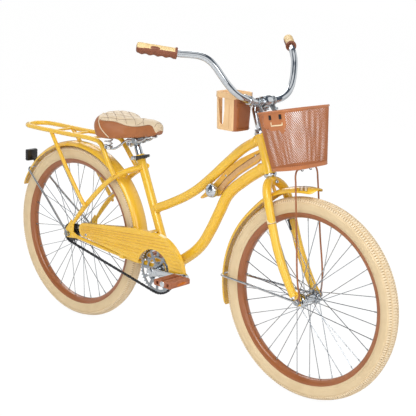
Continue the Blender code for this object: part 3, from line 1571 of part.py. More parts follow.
def make_chain_guard():
    cf, cz = CRANK_FORWARD, CRANK_HEIGHT
    rear = arc(0.098, 0.360, 0.032, -75, -265, 9)
    top = [(0.2200, 0.4085), (0.3370, 0.4235), (0.4150, 0.4290)]
    front = [
        polar((cf, cz), 0.1400 + 0.0080 * i / 8, math.radians(84 - 78 * i / 8)) for i in range(9)
    ]
    opening = arc(cf, cz, 0.0800, 5, 171, 12)
    outline = [*rear, *top, *front, *opening, (0.3700, 0.3035)]
    guard = side_plate("chain_guard", outline, -GUARD_NEAR, -GUARD_FAR)
    edge = [*rear[5:], *top, *front]
    inner = inset_outline(outline, 0.0013)[5:len(rear) + len(top) + len(front)]
    flange = side_plate("flange", [*edge, *reversed(inner)], -GUARD_FLANGE, -GUARD_FAR + 0.0004)
    join(guard, flange)
    for k in range(6):
        low = 0.3430 + 0.0075 * k
        high = 0.3260 + 0.0170 * k
        end = 0.3800 + 0.0040 * k
        rib = side_plate(
            "rib", [(0.0900, low), (end, high), (end, high + 0.0035), (0.0900, low + 0.0035)],
            -GUARD_NEAR - 0.0004, -GUARD_FAR - 0.0010,
        )
        join(guard, rib)
    stay_left = 0.0440 + 0.31 * (CHAINSTAY_PLACES[3][1] - 0.0440)
    lower_tab = side_plate(
        "tab", [(0.2900, 0.3010), (0.3100, 0.3010), (0.3100, 0.3180), (0.2900, 0.3180)],
        -(stay_left + CHAINSTAY_RADIUS + 0.0011), -GUARD_FAR + 0.0003,
    )
    upper_tab = side_plate(
        "tab", [(0.4180, 0.4238), (0.4380, 0.4238), (0.4380, 0.4262), (0.4180, 0.4262)],
        -SEAT_TUBE_RADIUS - 0.0010, -GUARD_FAR + 0.0003,
    )
    fit(join(guard, lower_tab, upper_tab), FRAME, "yellow_paint")


# Basket, its bracket and its support rod

BASKET_TILT = math.radians(12.0)
BASKET_AHEAD = (math.cos(BASKET_TILT), math.sin(BASKET_TILT))
BASKET_NORMAL = UP * math.cos(BASKET_TILT) - FORWARD * math.sin(BASKET_TILT)
BASKET_RIM = (BAR_FORWARD + 0.113332, BAR_UP - 0.010189)
BASKET_FLOOR = (BAR_FORWARD + 0.151332, BAR_UP - 0.191189)
BASKET_DEPTH = math.dist(BASKET_RIM, BASKET_FLOOR)
BASKET_COLUMNS = 32
BASKET_WALL = 0.0016
BASKET_SOLID = {22, 24, 26}


def basket_place(share, column, inset):
    """A point of the basket's wall: share 0 at its floor and 1 at its rim."""
    half_ahead = 0.066 + 0.019 * share - inset
    half_left = 0.093 + 0.022 * share - inset
    corner = 0.050 + 0.010 * share - inset
    turn = math.tau * (column + 0.5) / BASKET_COLUMNS
    outline = rounded_rectangle(half_ahead, half_left, corner)
    ahead, left = outline_at(outline, turn / math.tau)
    forward = BASKET_FLOOR[0] + (BASKET_RIM[0] - BASKET_FLOOR[0]) * share + BASKET_AHEAD[0] * ahead
    up = BASKET_FLOOR[1] + (BASKET_RIM[1] - BASKET_FLOOR[1]) * share + BASKET_AHEAD[1] * ahead
    return at(forward, left, up)


def rounded_rectangle(half_a, half_b, corner, pieces=6):
    outline = []
    for k in range(4):
        centre_a = (half_a - corner) * (1 if k in (0, 3) else -1)
        centre_b = (half_b - corner) * (1 if k in (0, 1) else -1)
        for i in range(pieces + 1):
            turn = math.radians(90 * k + 90 * i / pieces)
            outline.append(
                (centre_a + corner * math.cos(turn), centre_b + corner * math.sin(turn))
            )
    return outline


def outline_at(outline, share):
    """The point this share of the way round a closed outline."""
    steps = [math.dist(a, b) for a, b in zip(outline, [*outline[1:], outline[0]])]
    reach = (share % 1.0) * sum(steps)
    for (a, b), step in zip(zip(outline, [*outline[1:], outline[0]]), steps):
        if reach <= step:
            t = reach / step if step else 0.0
            return (a[0] + (b[0] - a[0]) * t, a[1] + (b[1] - a[1]) * t)
        reach -= step
    return outline[0]


def make_basket():
    levels = [0.0, 0.12, 0.42, 0.54, 0.84, 1.0]
    open_rows = {1, 3}
    bm = bmesh.new()
    skins = []
    for inset in (0.0, BASKET_WALL):
        skins.append([
            [
                bm.verts.new(basket_place(
                    BASKET_WALL / BASKET_DEPTH if row == 0 and inset else share, column, inset
                ))
                for column in range(BASKET_COLUMNS)
            ]
            for row, share in enumerate(levels)
        ])
    outer, inner = skins

    def is_open(row, column):
        return row in open_rows and column % 2 == 0 and column not in BASKET_SOLID

    for row in range(len(levels) - 1):
        for column in range(BASKET_COLUMNS):
            onward = (column + 1) % BASKET_COLUMNS
            if is_open(row, column):
                for a, b in (
                    ((row, column), (row, onward)), ((row, onward), (row + 1, onward)),
                    ((row + 1, onward), (row + 1, column)), ((row + 1, column), (row, column)),
                ):
                    bm.faces.new((
                        outer[a[0]][a[1]], outer[b[0]][b[1]], inner[b[0]][b[1]], inner[a[0]][a[1]],
                    ))
                continue
            for skin in skins:
                bm.faces.new((
                    skin[row][column], skin[row][onward], skin[row + 1][onward],
                    skin[row + 1][column],
                ))
    top = len(levels) - 1
    for column in range(BASKET_COLUMNS):
        onward = (column + 1) % BASKET_COLUMNS
        bm.faces.new((
            outer[top][column], outer[top][onward], inner[top][onward], inner[top][column],
        ))
    bm.faces.new(outer[0])
    bm.faces.new(inner[0])
    basket = add_object("basket", bm)
    band = sweep(
        "band", [basket_place(0.975, column, -0.0008) for column in range(0, BASKET_COLUMNS)],
        1.0, [(-0.0055, -0.0018), (0.0055, -0.0018), (0.0055, 0.0018), (-0.0055, 0.0018)],
        BASKET_NORMAL, closed=True,
    )
    fit(join(basket, band), STEERING, "brown_paint")


def from_bar(places):
    """Places in the side plane, counted forward and up from the middle of the bar."""
    return [(BAR_FORWARD + ahead, BAR_UP + up) for ahead, up in places]


def make_basket_bracket():
    bracket = side_plate(
        "basket_bracket",
        from_bar(((0.0350, -0.0452), (0.0472, -0.0832), (0.0444, -0.0841), (0.0322, -0.0461))),
        -0.0420, 0.0420,
    )
    for side in (-1, 1):
        arm = side_plate(
            "arm",
            from_bar(((-0.0067, -0.0122), (0.0093, -0.0122), (0.0283, -0.0442),
                      (0.0343, -0.0467), (0.0355, -0.0522), (0.0243, -0.0532),
                      (-0.0087, -0.0192))),
            side * 0.0305, side * 0.0385,
        )
        centre = BAR_CENTRE + LEFT * side * 0.0350
        boss = lathe(
            "boss", [(0, -0.006), (0.0150, -0.006), (0.0150, 0.006), (0, 0.006)], centre, LEFT, 10
        )
        join(bracket, arm, boss)
    bore = bore_radius(BAR_RADIUS, 10)
    hole = lathe("hole", [(0, -0.06), (bore, -0.06), (bore, 0.06), (0, 0.06)], BAR_CENTRE, LEFT, 10)
    cut(bracket, hole)
    fit(bracket, STEERING, "zinc_steel")


def make_support_rod():
    left = ROD_EYE_LEFT + EYE_THICKNESS / 2
    forward = BASKET_FLOOR[0] + 0.0270
    top = BASKET_FLOOR[1] + 0.0018
    half = [
        at(WHEELBASE + 0.0062, left, TYRE_RADIUS + 0.0155),
        at(WHEELBASE + 0.0066, left + 0.0015, TYRE_RADIUS + 0.0295),
        at(WHEELBASE + 0.0035, 0.0655, TYRE_RADIUS + 0.0575),
        at(forward + 0.0045, 0.0580, top - 0.0408), at(forward + 0.0010, 0.0560, top - 0.0138),
        at(forward, 0.0480, top - 0.0018), at(forward, 0.0360, top), at(forward, 0.0, top),
    ]
    other = [Vector((-p.x, p.y, p.z)) for p in reversed(half[:-1])]
    wire = sweep("basket_support_rod", [*half, *other], 0.0028, circle(5))
    for side in (-1, 1):
        lug = side_plate(
            "lug",
            [(WHEELBASE + ahead, TYRE_RADIUS + up) for ahead, up in (
                (-0.0060, 0.0005), (0.0030, 0.0185), (0.0095, 0.0185), (0.0080, 0.0005))],
            side * ROD_EYE_LEFT, side * (ROD_EYE_LEFT + EYE_THICKNESS),
        )
        join(wire, eye("eye", FRONT_AXLE, ROD_EYE_LEFT, side), lug)
    fit(cut(wire, axle_hole(FRONT_AXLE)), STEERING, "brown_paint")


# Cup holder

CUP_CENTRE = (BAR_FORWARD - 0.077668, -0.065)
CUP_LOW = BAR_UP - 0.095189
CUP_HIGH = CUP_LOW + 0.130


def cup_solid(name, half_ahead, half_left, corner, low, high, taper):
    bm = bmesh.new()
    rings = []
    for up, grown in ((low, -taper), (high, 0.0)):
        outline = rounded_rectangle(half_ahead + grown, half_left + grown, corner, 3)
        rings.append([
            bm.verts.new(at(CUP_CENTRE[0] + a, CUP_CENTRE[1] + b, up)) for a, b in outline
        ])
    ring_faces(bm, rings, closed=False)
    bm.faces.new(rings[0])
    bm.faces.new(rings[1])
    return add_object(name, bm)


def make_cup_holder():
    cup = cup_solid("cup_holder", 0.0470, 0.0440, 0.020, CUP_LOW, CUP_HIGH, 0.0040)
    join(cup, cup_solid("band", 0.0490, 0.0460, 0.021, CUP_HIGH - 0.018, CUP_HIGH + 0.001, 0.0))
    inner = cup_solid("inner", 0.0445, 0.0415, 0.018, CUP_LOW + 0.0030, CUP_HIGH + 0.010, 0.0040)
    middle = (CUP_LOW + CUP_HIGH) / 2 - 0.002
    slot_place = at(CUP_CENTRE[0] - 0.026, CUP_CENTRE[1] - 0.045, middle)
    slot = block("slot", slot_place, (0.040, 0.0140, 0.090))
    slit_place = at(CUP_CENTRE[0], CUP_CENTRE[1] - 0.045, middle)
    slit = block("slit", slit_place, (0.040, 0.0030, 0.090))
    fit(cut(cup, inner, slot, slit), STEERING, "brown_paint")
    start, end = (bar_half(-1)[i] for i in CUP_CLAMP_BETWEEN)
    axis = (end - start).normalized()
    centre = start.lerp(end, 0.5)
    boss = lathe(
        "cup_holder_bracket",
        [(0, -0.006), (0.0150, -0.006), (0.0150, 0.006), (0, 0.006)], centre, axis, 10,
    )
    front = CUP_CENTRE[0] + 0.0490 + 0.0005
    arm = block(
        "arm", Vector((centre.x, MIDDLE - (front + 0.0090), CUP_HIGH - 0.018)), (0.0200, 0.0180, 0.0200)
    )
    join(boss, arm)
    hole = lathe(
        "hole",
        [(0, -0.05), (bore_radius(BAR_RADIUS, 10), -0.05), (bore_radius(BAR_RADIUS, 10), 0.05),
         (0, 0.05)],
        centre, axis, 10,
    )
    fit(cut(boss, hole), STEERING, "zinc_steel")


# The whole bike

BELL = group("bell_group", at(BELL_FORWARD, -(TANK_HALF + GAP), BELL_UP), FRAME)
PEDAL_RIGHT = group("pedal_right_group", pedal_place(-1, -(PEDAL_NEAR + PEDAL_FAR) / 2), CRANK)
PEDAL_LEFT = group("pedal_left_group", pedal_place(1, (PEDAL_NEAR + PEDAL_FAR) / 2), CRANK)


def make_bike():
    make_head_tube()
    make_shell()
    make_seat_tube()
    make_main_tubes()
    make_rear_triangle(-1, "right")
    make_rear_triangle(1, "left")
    make_bridges()
    make_tank_panel()
    make_bell()
    make_headset()
    make_fork()
    make_stem()
    make_handlebar()
    make_grip(-1, "right")
    make_grip(1, "left")
    make_wheels()
    make_axles()
    make_fenders()
    make_fender_stays()
    make_rear_reflector()
    make_rack()
    make_chain()
    make_chainring()
    make_cog()
    make_crank()
    make_pedal(-1, "right", PEDAL_RIGHT)
    make_pedal(1, "left", PEDAL_LEFT)
    make_cups()
    make_brake_arm()
    make_chain_guard()
    make_seat_collar()
    make_seatpost()
    make_saddle_clamp()
    make_saddle_rails()
    make_spring(-1, "right")
    make_spring(1, "left")
    make_saddle()
    make_basket()
    make_basket_bracket()
    make_support_rod()
    make_cup_holder()


make_bike()
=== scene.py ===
"""The looks of a yellow step-through city bike with cream tyres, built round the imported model.

Places are written in the rider's directions: forward from the rear axle, left from the middle
plane and up from the floor, in metres.
"""

import json
import math
from contextlib import contextmanager

import bpy
from mathutils import Matrix, Vector


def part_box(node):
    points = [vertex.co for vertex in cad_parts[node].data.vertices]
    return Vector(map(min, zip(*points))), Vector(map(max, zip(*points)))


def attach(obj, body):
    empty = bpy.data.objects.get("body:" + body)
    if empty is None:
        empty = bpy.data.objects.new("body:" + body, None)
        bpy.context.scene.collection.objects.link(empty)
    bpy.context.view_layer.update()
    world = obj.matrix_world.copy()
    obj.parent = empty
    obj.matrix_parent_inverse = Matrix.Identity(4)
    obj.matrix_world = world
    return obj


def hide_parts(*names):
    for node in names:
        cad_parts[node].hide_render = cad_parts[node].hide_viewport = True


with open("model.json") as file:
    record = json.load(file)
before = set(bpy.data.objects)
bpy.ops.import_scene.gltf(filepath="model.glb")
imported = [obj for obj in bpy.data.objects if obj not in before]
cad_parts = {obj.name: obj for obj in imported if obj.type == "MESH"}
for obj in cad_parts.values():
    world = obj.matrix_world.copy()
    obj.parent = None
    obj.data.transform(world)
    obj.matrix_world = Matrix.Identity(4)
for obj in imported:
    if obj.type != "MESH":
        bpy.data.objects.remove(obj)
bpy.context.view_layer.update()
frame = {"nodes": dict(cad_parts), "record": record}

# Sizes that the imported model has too

MIDDLE = 0.55
WHEELBASE = 1.1
WHEEL_RADIUS = 0.3325
CRANK_FORWARD = 0.465444
CRANK_HEIGHT = 0.29
HEAD_ANGLE = math.radians(69.5)
SEAT_LEAN = math.radians(23.7)
LEFT = Vector((1, 0, 0))
FORWARD = Vector((0, -1, 0))
UP = Vector((0, 0, 1))
SIDES = ((-1, "right"), (1, "left"))


def at(forward, left, up):
    return Vector((left, MIDDLE - forward, up))


REAR_AXLE = at(0, 0, WHEEL_RADIUS)
FRONT_AXLE = at(WHEELBASE, 0, WHEEL_RADIUS)
CRANK_CENTRE = at(CRANK_FORWARD, 0, CRANK_HEIGHT)
STEER_UP = UP * math.sin(HEAD_ANGLE) - FORWARD * math.cos(HEAD_ANGLE)
STEER_AHEAD = FORWARD * math.sin(HEAD_ANGLE) + UP * math.cos(HEAD_ANGLE)
STEER_FOOT = FRONT_AXLE - STEER_AHEAD * 0.038
SEAT_UP = UP * math.cos(SEAT_LEAN) - FORWARD * math.sin(SEAT_LEAN)
SEAT_BACK = -(FORWARD * math.cos(SEAT_LEAN) + UP * math.sin(SEAT_LEAN))


def steered(along, ahead, left):
    """A point measured along the steering axis, ahead of it and left of it."""
    return STEER_FOOT + STEER_UP * along + STEER_AHEAD * ahead + LEFT * left


def on_seat_tube(up):
    """The point of the seat tube's middle line at this height."""
    return CRANK_CENTRE + FORWARD * 0.022 + SEAT_UP * ((up - CRANK_HEIGHT) / SEAT_UP.z)


def around(centre, radius, degrees, left=0.0):
    """A point round a wheel, counted from straight ahead upwards and over to the back."""
    turn = math.radians(degrees)
    return centre + (FORWARD * math.cos(turn) + UP * math.sin(turn)) * radius + LEFT * left


def held(value, low=0.0, high=1.0):
    """The value kept between two limits."""
    return min(high, max(low, value))


def mirrored(point):
    return Vector((-point.x, point.y, point.z))


def polar(centre, radius, turn):
    return (centre[0] + radius * math.cos(turn), centre[1] + radius * math.sin(turn))


def mm(*rows):
    """Rows of millimetres as rows of metres."""
    return [tuple(number / 1000 for number in row) for row in rows]


def raised(base, *rows):
    """Points in millimetres whose second value is counted from this base."""
    return [(first / 1000, base + second / 1000) for first, second in rows]


def doubled(half):
    """A profile of (radius, along) carried on over its last point to the other side."""
    return [*half, *[(r, -h) for r, h in reversed(half[:-1])]]


# Working with pieces

def pick(piece):
    """Makes this the only selected piece, and the active one."""
    if bpy.context.mode != "OBJECT":
        bpy.ops.object.mode_set(mode="OBJECT")
    bpy.ops.object.select_all(action="DESELECT")
    piece.select_set(True)
    bpy.context.view_layer.objects.active = piece
    return piece


def named(name):
    piece = bpy.context.object
    piece.name = name
    piece.data.name = name
    return piece


@contextmanager
def editing(piece, everything=True):
    """Edit mode on this piece, with all of it selected or only what was."""
    pick(piece)
    bpy.ops.object.mode_set(mode="EDIT")
    if everything:
        bpy.ops.mesh.select_all(action="SELECT")
    yield
    bpy.ops.object.mode_set(mode="OBJECT")


def choose_faces(piece, wanted):
    """Selects the faces that pass a test, and nothing else."""
    with editing(piece, False):
        bpy.ops.mesh.select_all(action="DESELECT")
        bpy.ops.mesh.select_mode(type="FACE")
    for face in piece.data.polygons:
        face.select = wanted(face)


def drop_faces(piece, unwanted):
    """Removes the faces that pass a test."""
    choose_faces(piece, unwanted)
    with editing(piece, False):
        bpy.ops.mesh.delete(type="FACE")


def settle(piece):
    """Puts the piece's place into its mesh and leaves its object at the origin."""
    pick(piece)
    bpy.ops.object.transform_apply(location=True, rotation=True, scale=True)
    return piece


def smooth(piece, degrees=40.0):
    pick(piece)
    bpy.ops.object.shade_smooth_by_angle(angle=math.radians(degrees))
    return piece


def clean(piece, degrees=40.0):
    """Merges doubled points and turns every face outwards."""
    with editing(piece):
        bpy.ops.mesh.remove_doubles(threshold=0.00002)
        bpy.ops.mesh.normals_make_consistent(inside=False)
    return smooth(piece, degrees)


def close_ends(piece):
    """Fills each open ring of edges with a face of its own."""
    with editing(piece):
        bpy.ops.mesh.fill_holes(sides=0)
    return clean(piece)


def modify(piece, kind, **settings):
    """Adds a modifier with these settings and applies it."""
    pick(piece)
    modifier = piece.modifiers.new(kind.title(), kind)
    for key, value in settings.items():
        setattr(modifier, key, value)
    bpy.ops.object.modifier_apply(modifier=modifier.name)
    return piece


def bevelled(piece, width, segments=2, degrees=35.0):
    modify(
        piece, "BEVEL", width=width, segments=segments, limit_method="ANGLE",
        angle_limit=math.radians(degrees))
    return smooth(piece)


def cut_away(piece, *tools):
    for tool in tools:
        modify(piece, "BOOLEAN", operation="DIFFERENCE", solver="EXACT", object=tool)
        bpy.data.objects.remove(tool, do_unlink=True)
    return piece


def joined(name, pieces):
    """One piece made of several."""
    pick(pieces[0])
    for piece in pieces:
        piece.select_set(True)
    bpy.ops.object.join()
    return named(name)


def copied(piece, place):
    """A copy with its own mesh, moved by a matrix."""
    twin = piece.copy()
    twin.data = piece.data.copy()
    bpy.context.collection.objects.link(twin)
    twin.data.transform(place)
    if place.determinant() < 0:
        twin.data.flip_normals()
    return twin


def both_sides(name, piece):
    """The piece and its twin on the other side of the middle plane."""
    return joined(name, [piece, copied(piece, Matrix.Diagonal((-1, 1, 1, 1)))])


def round_copies(piece, count, centre, axis=LEFT):
    """Repeats the piece evenly round an axis."""
    bpy.context.scene.cursor.location = centre
    pick(piece)
    bpy.ops.object.origin_set(type="ORIGIN_CURSOR")
    bpy.ops.object.empty_add(location=centre)
    turner = bpy.context.object
    turner.rotation_mode = "QUATERNION"
    turner.rotation_quaternion = Matrix.Rotation(math.tau / count, 4, axis).to_quaternion()
    bpy.context.view_layer.update()
    modify(
        piece, "ARRAY", count=count, use_relative_offset=False, use_object_offset=True,
        offset_object=turner)
    bpy.data.objects.remove(turner, do_unlink=True)
    bpy.context.scene.cursor.location = (0, 0, 0)
    return settle(piece)


# Shapes

def tube(name, points, radius, sizes=None, corners=False, closed=False, round_steps=4, steps=6):
    """A round bar bent along the points, its ends filled."""
    bpy.ops.curve.primitive_bezier_curve_add()
    bar = named(name)
    spline = bar.data.splines[0]
    spline.bezier_points.add(len(points) - 2)
    bend = "VECTOR" if corners else "AUTO"
    for i, (knot, point) in enumerate(zip(spline.bezier_points, points)):
        knot.co = point
        knot.radius = sizes[i] if sizes else 1.0
        knot.handle_left_type = bend
        knot.handle_right_type = bend
    spline.use_cyclic_u = closed
    bar.data.resolution_u = steps
    bar.data.bevel_depth = radius
    bar.data.bevel_resolution = round_steps
    bar.data.use_fill_caps = not closed
    bpy.ops.object.convert(target="MESH")
    return clean(named(name))


def rod(name, points, radius, round_steps, sizes=None):
    """A round bar with straight runs and sharp corners."""
    return tube(name, points, radius, sizes, True, False, round_steps, 1)


def wire_outline(name, points, closed):
    """The points joined by edges, as a mesh."""
    bpy.ops.curve.primitive_bezier_curve_add()
    line = named(name)
    line.data.splines.clear()
    spline = line.data.splines.new("POLY")
    spline.points.add(len(points) - 1)
    for knot, point in zip(spline.points, points):
        knot.co = (*point, 1)
    spline.use_cyclic_u = closed
    bpy.ops.object.convert(target="MESH")
    return named(name)


def spun(name, profile, centre, axis=LEFT, steps=48, closed=False, degrees=40.0):
    """A profile of (radius, along) turned once round an axis."""
    across = UP if abs(axis.dot(UP)) < 0.9 else FORWARD
    across = (across - axis * across.dot(axis)).normalized()
    points = [centre + across * radius + axis * along for radius, along in profile]
    piece = wire_outline(name, points, closed)
    with editing(piece):
        bpy.ops.mesh.spin(steps=steps, angle=math.tau, center=centre, axis=axis)
    return clean(piece, degrees)


def hoop(*shape, **details):
    """A body turned from a closed profile that stays clear of its axis."""
    return spun(*shape, closed=True, **details)


def flat_piece(name, loops, near, far, bevel=0.0, degrees=40.0):
    """A plate in the side plane.  Loops are of (forward, up): its edge, then its holes."""
    bpy.ops.curve.primitive_bezier_circle_add()
    sheet = named(name)
    sheet.data.splines.clear()
    for loop in loops:
        spline = sheet.data.splines.new("POLY")
        spline.points.add(len(loop) - 1)
        for knot, (forward, up) in zip(spline.points, loop):
            knot.co = (forward, up, 0, 1)
        spline.use_cyclic_u = True
    sheet.data.dimensions = "2D"
    sheet.data.fill_mode = "BOTH"
    sheet.data.extrude = abs(far - near) / 2 - bevel
    sheet.data.bevel_depth = bevel
    sheet.data.bevel_resolution = 1 if bevel < 0.002 else 4
    sheet.data.offset = -bevel
    middle = (near + far) / 2
    sheet.matrix_world = Matrix((
        (0, 0, -1, middle), (-1, 0, 0, MIDDLE), (0, 1, 0, 0), (0, 0, 0, 1)))
    bpy.ops.object.convert(target="MESH")
    return clean(settle(named(name)), degrees)


def box(name, centre, size, turn=None, bevel=0.0):
    """A block with its edges bevelled."""
    bpy.ops.mesh.primitive_cube_add(size=1.0)
    block = named(name)
    block.matrix_world = (
        Matrix.Translation(centre) @ (turn or Matrix()) @ Matrix.Diagonal((*size, 1)))
    settle(block)
    return bevelled(block, bevel) if bevel else block


def hexagon(name, centre, axis, radius, length, bore=0.0):
    """A nut or bolt head with its corners turned down."""
    chamfer = radius * 0.12
    return spun(
        name,
        [(0, 0), (radius - chamfer, 0), (radius, chamfer), (radius, length - chamfer),
         (radius - chamfer, length), (bore, length), (bore, length * 0.4), (0, length * 0.4)],
        centre, axis, 6, degrees=20.0)


def screw_head(name, centre, axis, radius, height):
    """A domed head with a round recess."""
    return spun(
        name,
        [(0, height * 0.55), (radius * 0.35, height * 0.55), (radius * 0.42, height),
         (radius * 0.75, height * 0.92), (radius, height * 0.45), (radius, 0), (0, 0)], centre,
        axis, 20)


def arc(centre, radius, start, end, pieces):
    """Points of an arc in the side plane, in degrees from straight ahead upwards."""
    return [polar(centre, radius, math.radians(start + (end - start) * i / pieces))
            for i in range(pieces + 1)]


# Effects shared by the materials

NUMBER = "NodeSocketFloat"
COLOUR = "NodeSocketColor"
WHITE = (1, 1, 1, 1)


def give(tree, socket, value):
    """Feeds a socket from a node or a socket, or sets it to a plain value."""
    if isinstance(value, bpy.types.Node):
        value = value.outputs[0]
    if isinstance(value, bpy.types.NodeSocket):
        tree.links.new(value, socket)
    else:
        socket.default_value = value


def add(tree, kind, inputs=None, **settings):
    """A new node with these settings, its inputs given by name or number."""
    node = tree.nodes.new("ShaderNode" + kind)
    for key, value in settings.items():
        setattr(node, key, value)
    for key, value in (inputs or {}).items():
        give(tree, node.inputs[key], value)
    return node


def mix_colour(tree, factor, first, second):
    return add(tree, "Mix", {0: factor, 6: first, 7: second}, data_type="RGBA").outputs[2]


def spread(tree, value, low, high, new_low=0.0, new_high=1.0):
    """Maps a value from one range to another."""
    return add(tree, "MapRange", dict(enumerate((value, low, high, new_low, new_high))))


def noise(tree, scale, detail=3.0, place=None):
    """A noise on the piece's own coordinates."""
    place = place or add(tree, "TexCoord").outputs["Object"]
    return add(tree, "TexNoise", {"Vector": place, "Scale": scale, "Detail": detail})


def make_group(build, output, kind, **inputs):
    """A node group of what build(group, its inputs) gives, with one output."""
    group = bpy.data.node_groups.new(build.__name__, "ShaderNodeTree")
    for name, value in inputs.items():
        socket_type = COLOUR if isinstance(value, tuple) else NUMBER
        made = group.interface.new_socket(name, in_out="INPUT", socket_type=socket_type)
        made.default_value = value
    group.interface.new_socket(output, in_out="OUTPUT", socket_type=kind)
    given = group.nodes.new("NodeGroupInput").outputs
    put = group.nodes.new("NodeGroupOutput").inputs
    give(group, put[output], build(group, given))
    return group


def mottle(group, given):
    """Lets a colour drift towards a second one in soft patches."""
    patches = spread(group, noise(group, given["Scale"], 5.0), 0.42, 0.68)
    share = add(group, "Math", {0: patches, 1: given["Amount"]}, operation="MULTIPLY")
    return mix_colour(group, share, given["Colour"], given["Other"])


def rub(group, given):
    """Roughness that wanders between two values, as on a handled surface."""
    wander = noise(group, given["Scale"], 4.0)
    return spread(group, wander, 0.35, 0.65, given["Low"], given["High"])


def grain_height(group, given):
    """The height of a fine leathery or moulded grain."""
    place = add(group, "TexCoord").outputs["Object"]
    cells = {"Scale": given["Scale"], "Vector": place}
    cells = add(group, "TexVoronoi", cells, feature="SMOOTH_F1")
    fine = noise(group, given["Scale"], 2.0, place)
    return add(group, "Math", {0: cells.outputs["Distance"], 1: fine}, operation="ADD")


MOTTLE = make_group(
    mottle, "Colour", COLOUR, Colour=WHITE, Other=(0, 0, 0, 1), Scale=20.0, Amount=0.2)
RUB = make_group(rub, "Roughness", NUMBER, Low=0.1, High=0.3, Scale=30.0)
GRAIN = make_group(grain_height, "Height", NUMBER, Scale=800.0)
FINISHES = {}


def colour_of(code):
    """A colour from six hex digits, made linear."""
    parts = [int(code[i:i + 2], 16) / 255 for i in (0, 2, 4)]
    return (*(p / 12.92 if p <= 0.04045 else ((p + 0.055) / 1.055) ** 2.4 for p in parts), 1.0)


def mottled(tree, colour, other, patch, amount):
    colours = {"Colour": colour_of(colour), "Other": colour_of(other)}
    return add(tree, "Group", {**colours, "Scale": patch, "Amount": amount}, node_tree=MOTTLE)


def finish(
    name, colour, other, amount, patch, rough=(0.3, 0.4), rough_scale=30, metallic=0, coat=0,
    coat_rough=0.05, grain=0, grain_scale=800, sheen=0):
    """A material of the shared effects with its own values."""
    made = bpy.data.materials.new(name)
    made.use_nodes = True
    tree = made.node_tree
    rubbed = {"Low": rough[0], "High": rough[1], "Scale": rough_scale}
    values = {
        "Base Color": mottled(tree, colour, other, patch, amount),
        "Roughness": add(tree, "Group", rubbed, node_tree=RUB), "Metallic": metallic,
        "Coat Weight": coat, "Coat Roughness": coat_rough, "Sheen Weight": sheen}
    if grain:
        height = add(tree, "Group", {"Scale": grain_scale}, node_tree=GRAIN)
        bump = {"Strength": grain, "Distance": 0.0006, "Height": height}
        values["Normal"] = add(tree, "Bump", bump)
    for key, value in values.items():
        give(tree, tree.nodes["Principled BSDF"].inputs[key], value)
    FINISHES[name] = made


finish(
    "enamel", "EDBE36", "E4B02D", 0.5, 7, (0.22, 0.3), 12, coat=0.55, coat_rough=0.03, grain=0.03,
    grain_scale=160)
finish(
    "tank_enamel", "DDA73A", "D29B30", 0.5, 7, (0.24, 0.32), 12, coat=0.5, coat_rough=0.04,
    grain=0.03, grain_scale=160)
finish("tan_band", "CDA06A", "BA8A52", 0.7, 140, (0.3, 0.4), coat=0.4, coat_rough=0.05)
finish("cream_band", "E9D7B0", "DCC79C", 0.4, 30, (0.28, 0.36), coat=0.5, coat_rough=0.05)
finish("dark_line", "6A4326", "4E2F1A", 0.4, 40, (0.3, 0.4), coat=0.3)
finish("chrome", "C9CDD1", "B4BABF", 0.35, 25, (0.05, 0.11), 40, metallic=1)
finish(
    "steel", "B4B8BB", "8D9296", 0.6, 60, (0.24, 0.4), 80, metallic=1, grain=0.06, grain_scale=900)
finish("bright_steel", "D4D7D9", "A9AEB2", 0.5, 50, (0.14, 0.24), 60, metallic=1)
finish(
    "dark_steel", "4C4C4E", "2A2826", 0.7, 120, (0.26, 0.46), 150, metallic=0.9, grain=0.1,
    grain_scale=700)
finish("chain_steel", "3A3B3E", "55565A", 0.6, 90, (0.26, 0.44), 150, metallic=0.95)
finish("ring_steel", "9DA2A7", "7F858B", 0.5, 40, (0.16, 0.26), 60, metallic=1)
finish(
    "brown_enamel", "9B5B2F", "894D26", 0.5, 12, (0.28, 0.36), 20, coat=0.4, coat_rough=0.08,
    grain=0.03, grain_scale=200)
finish(
    "basket_enamel", "B8703F", "A25F34", 0.5, 25, (0.34, 0.44), 40, coat=0.25, coat_rough=0.15,
    grain=0.08, grain_scale=500)
finish("tyre", "DBC49D", "CFB58B", 0.45, 26, (0.62, 0.78), 60, grain=0.1, grain_scale=600)
finish("tread", "E6D3B3", "DBC4A0", 0.55, 60, (0.66, 0.82), 90, grain=0.14, grain_scale=700)
# Painted shade for the gaps between the tyre's shoulder blocks.
finish("tread_gap", "B2966C", "A3875F", 0.5, 60, (0.7, 0.85), 90, grain=0.14, grain_scale=700)
# Painted shade for the grooves between the chain guard's ribs.
finish("groove_shade", "E4B238", "DAA830", 0.4, 40, (0.3, 0.4), coat=0.4, coat_rough=0.05)
finish("cream_rubber", "E3C68F", "D3B277", 0.4, 40, (0.5, 0.62), 70, grain=0.1, grain_scale=900)
finish("brown_rubber", "7D452A", "6C3921", 0.45, 50, (0.42, 0.56), 70, grain=0.12, grain_scale=900)
finish("pedal_brown", "A46445", "8D5234", 0.5, 60, (0.4, 0.52), 70, grain=0.12, grain_scale=800)
finish(
    "cream_vinyl", "D8C4A6", "CCB693", 0.4, 20, (0.46, 0.58), 50, grain=0.22, grain_scale=1100,
    sheen=0.1)
finish("thread", "7A5334", "5E3D24", 0.6, 300, (0.7, 0.85), sheen=0.3)
finish("black_plastic", "1B1B1D", "29292B", 0.4, 60, (0.28, 0.42), 60, grain=0.06)
finish(
    "cup_brown", "A56236", "905028", 0.5, 22, (0.3, 0.42), 30, coat=0.2, coat_rough=0.2, grain=0.1,
    grain_scale=700)
# Painted light: a pale cream that stands for the cup's brown plastic where light falls on it.
finish(
    "cup_cream", "EBC390", "DDAF76", 0.4, 22, (0.34, 0.46), 30, coat=0.2, coat_rough=0.2,
    grain=0.1, grain_scale=700)
finish("amber", "C86A14", "A8500C", 0.5, 200, (0.1, 0.18), coat=0.6)
finish("red", "8E1512", "6B0E0C", 0.5, 200, (0.1, 0.18), coat=0.6)


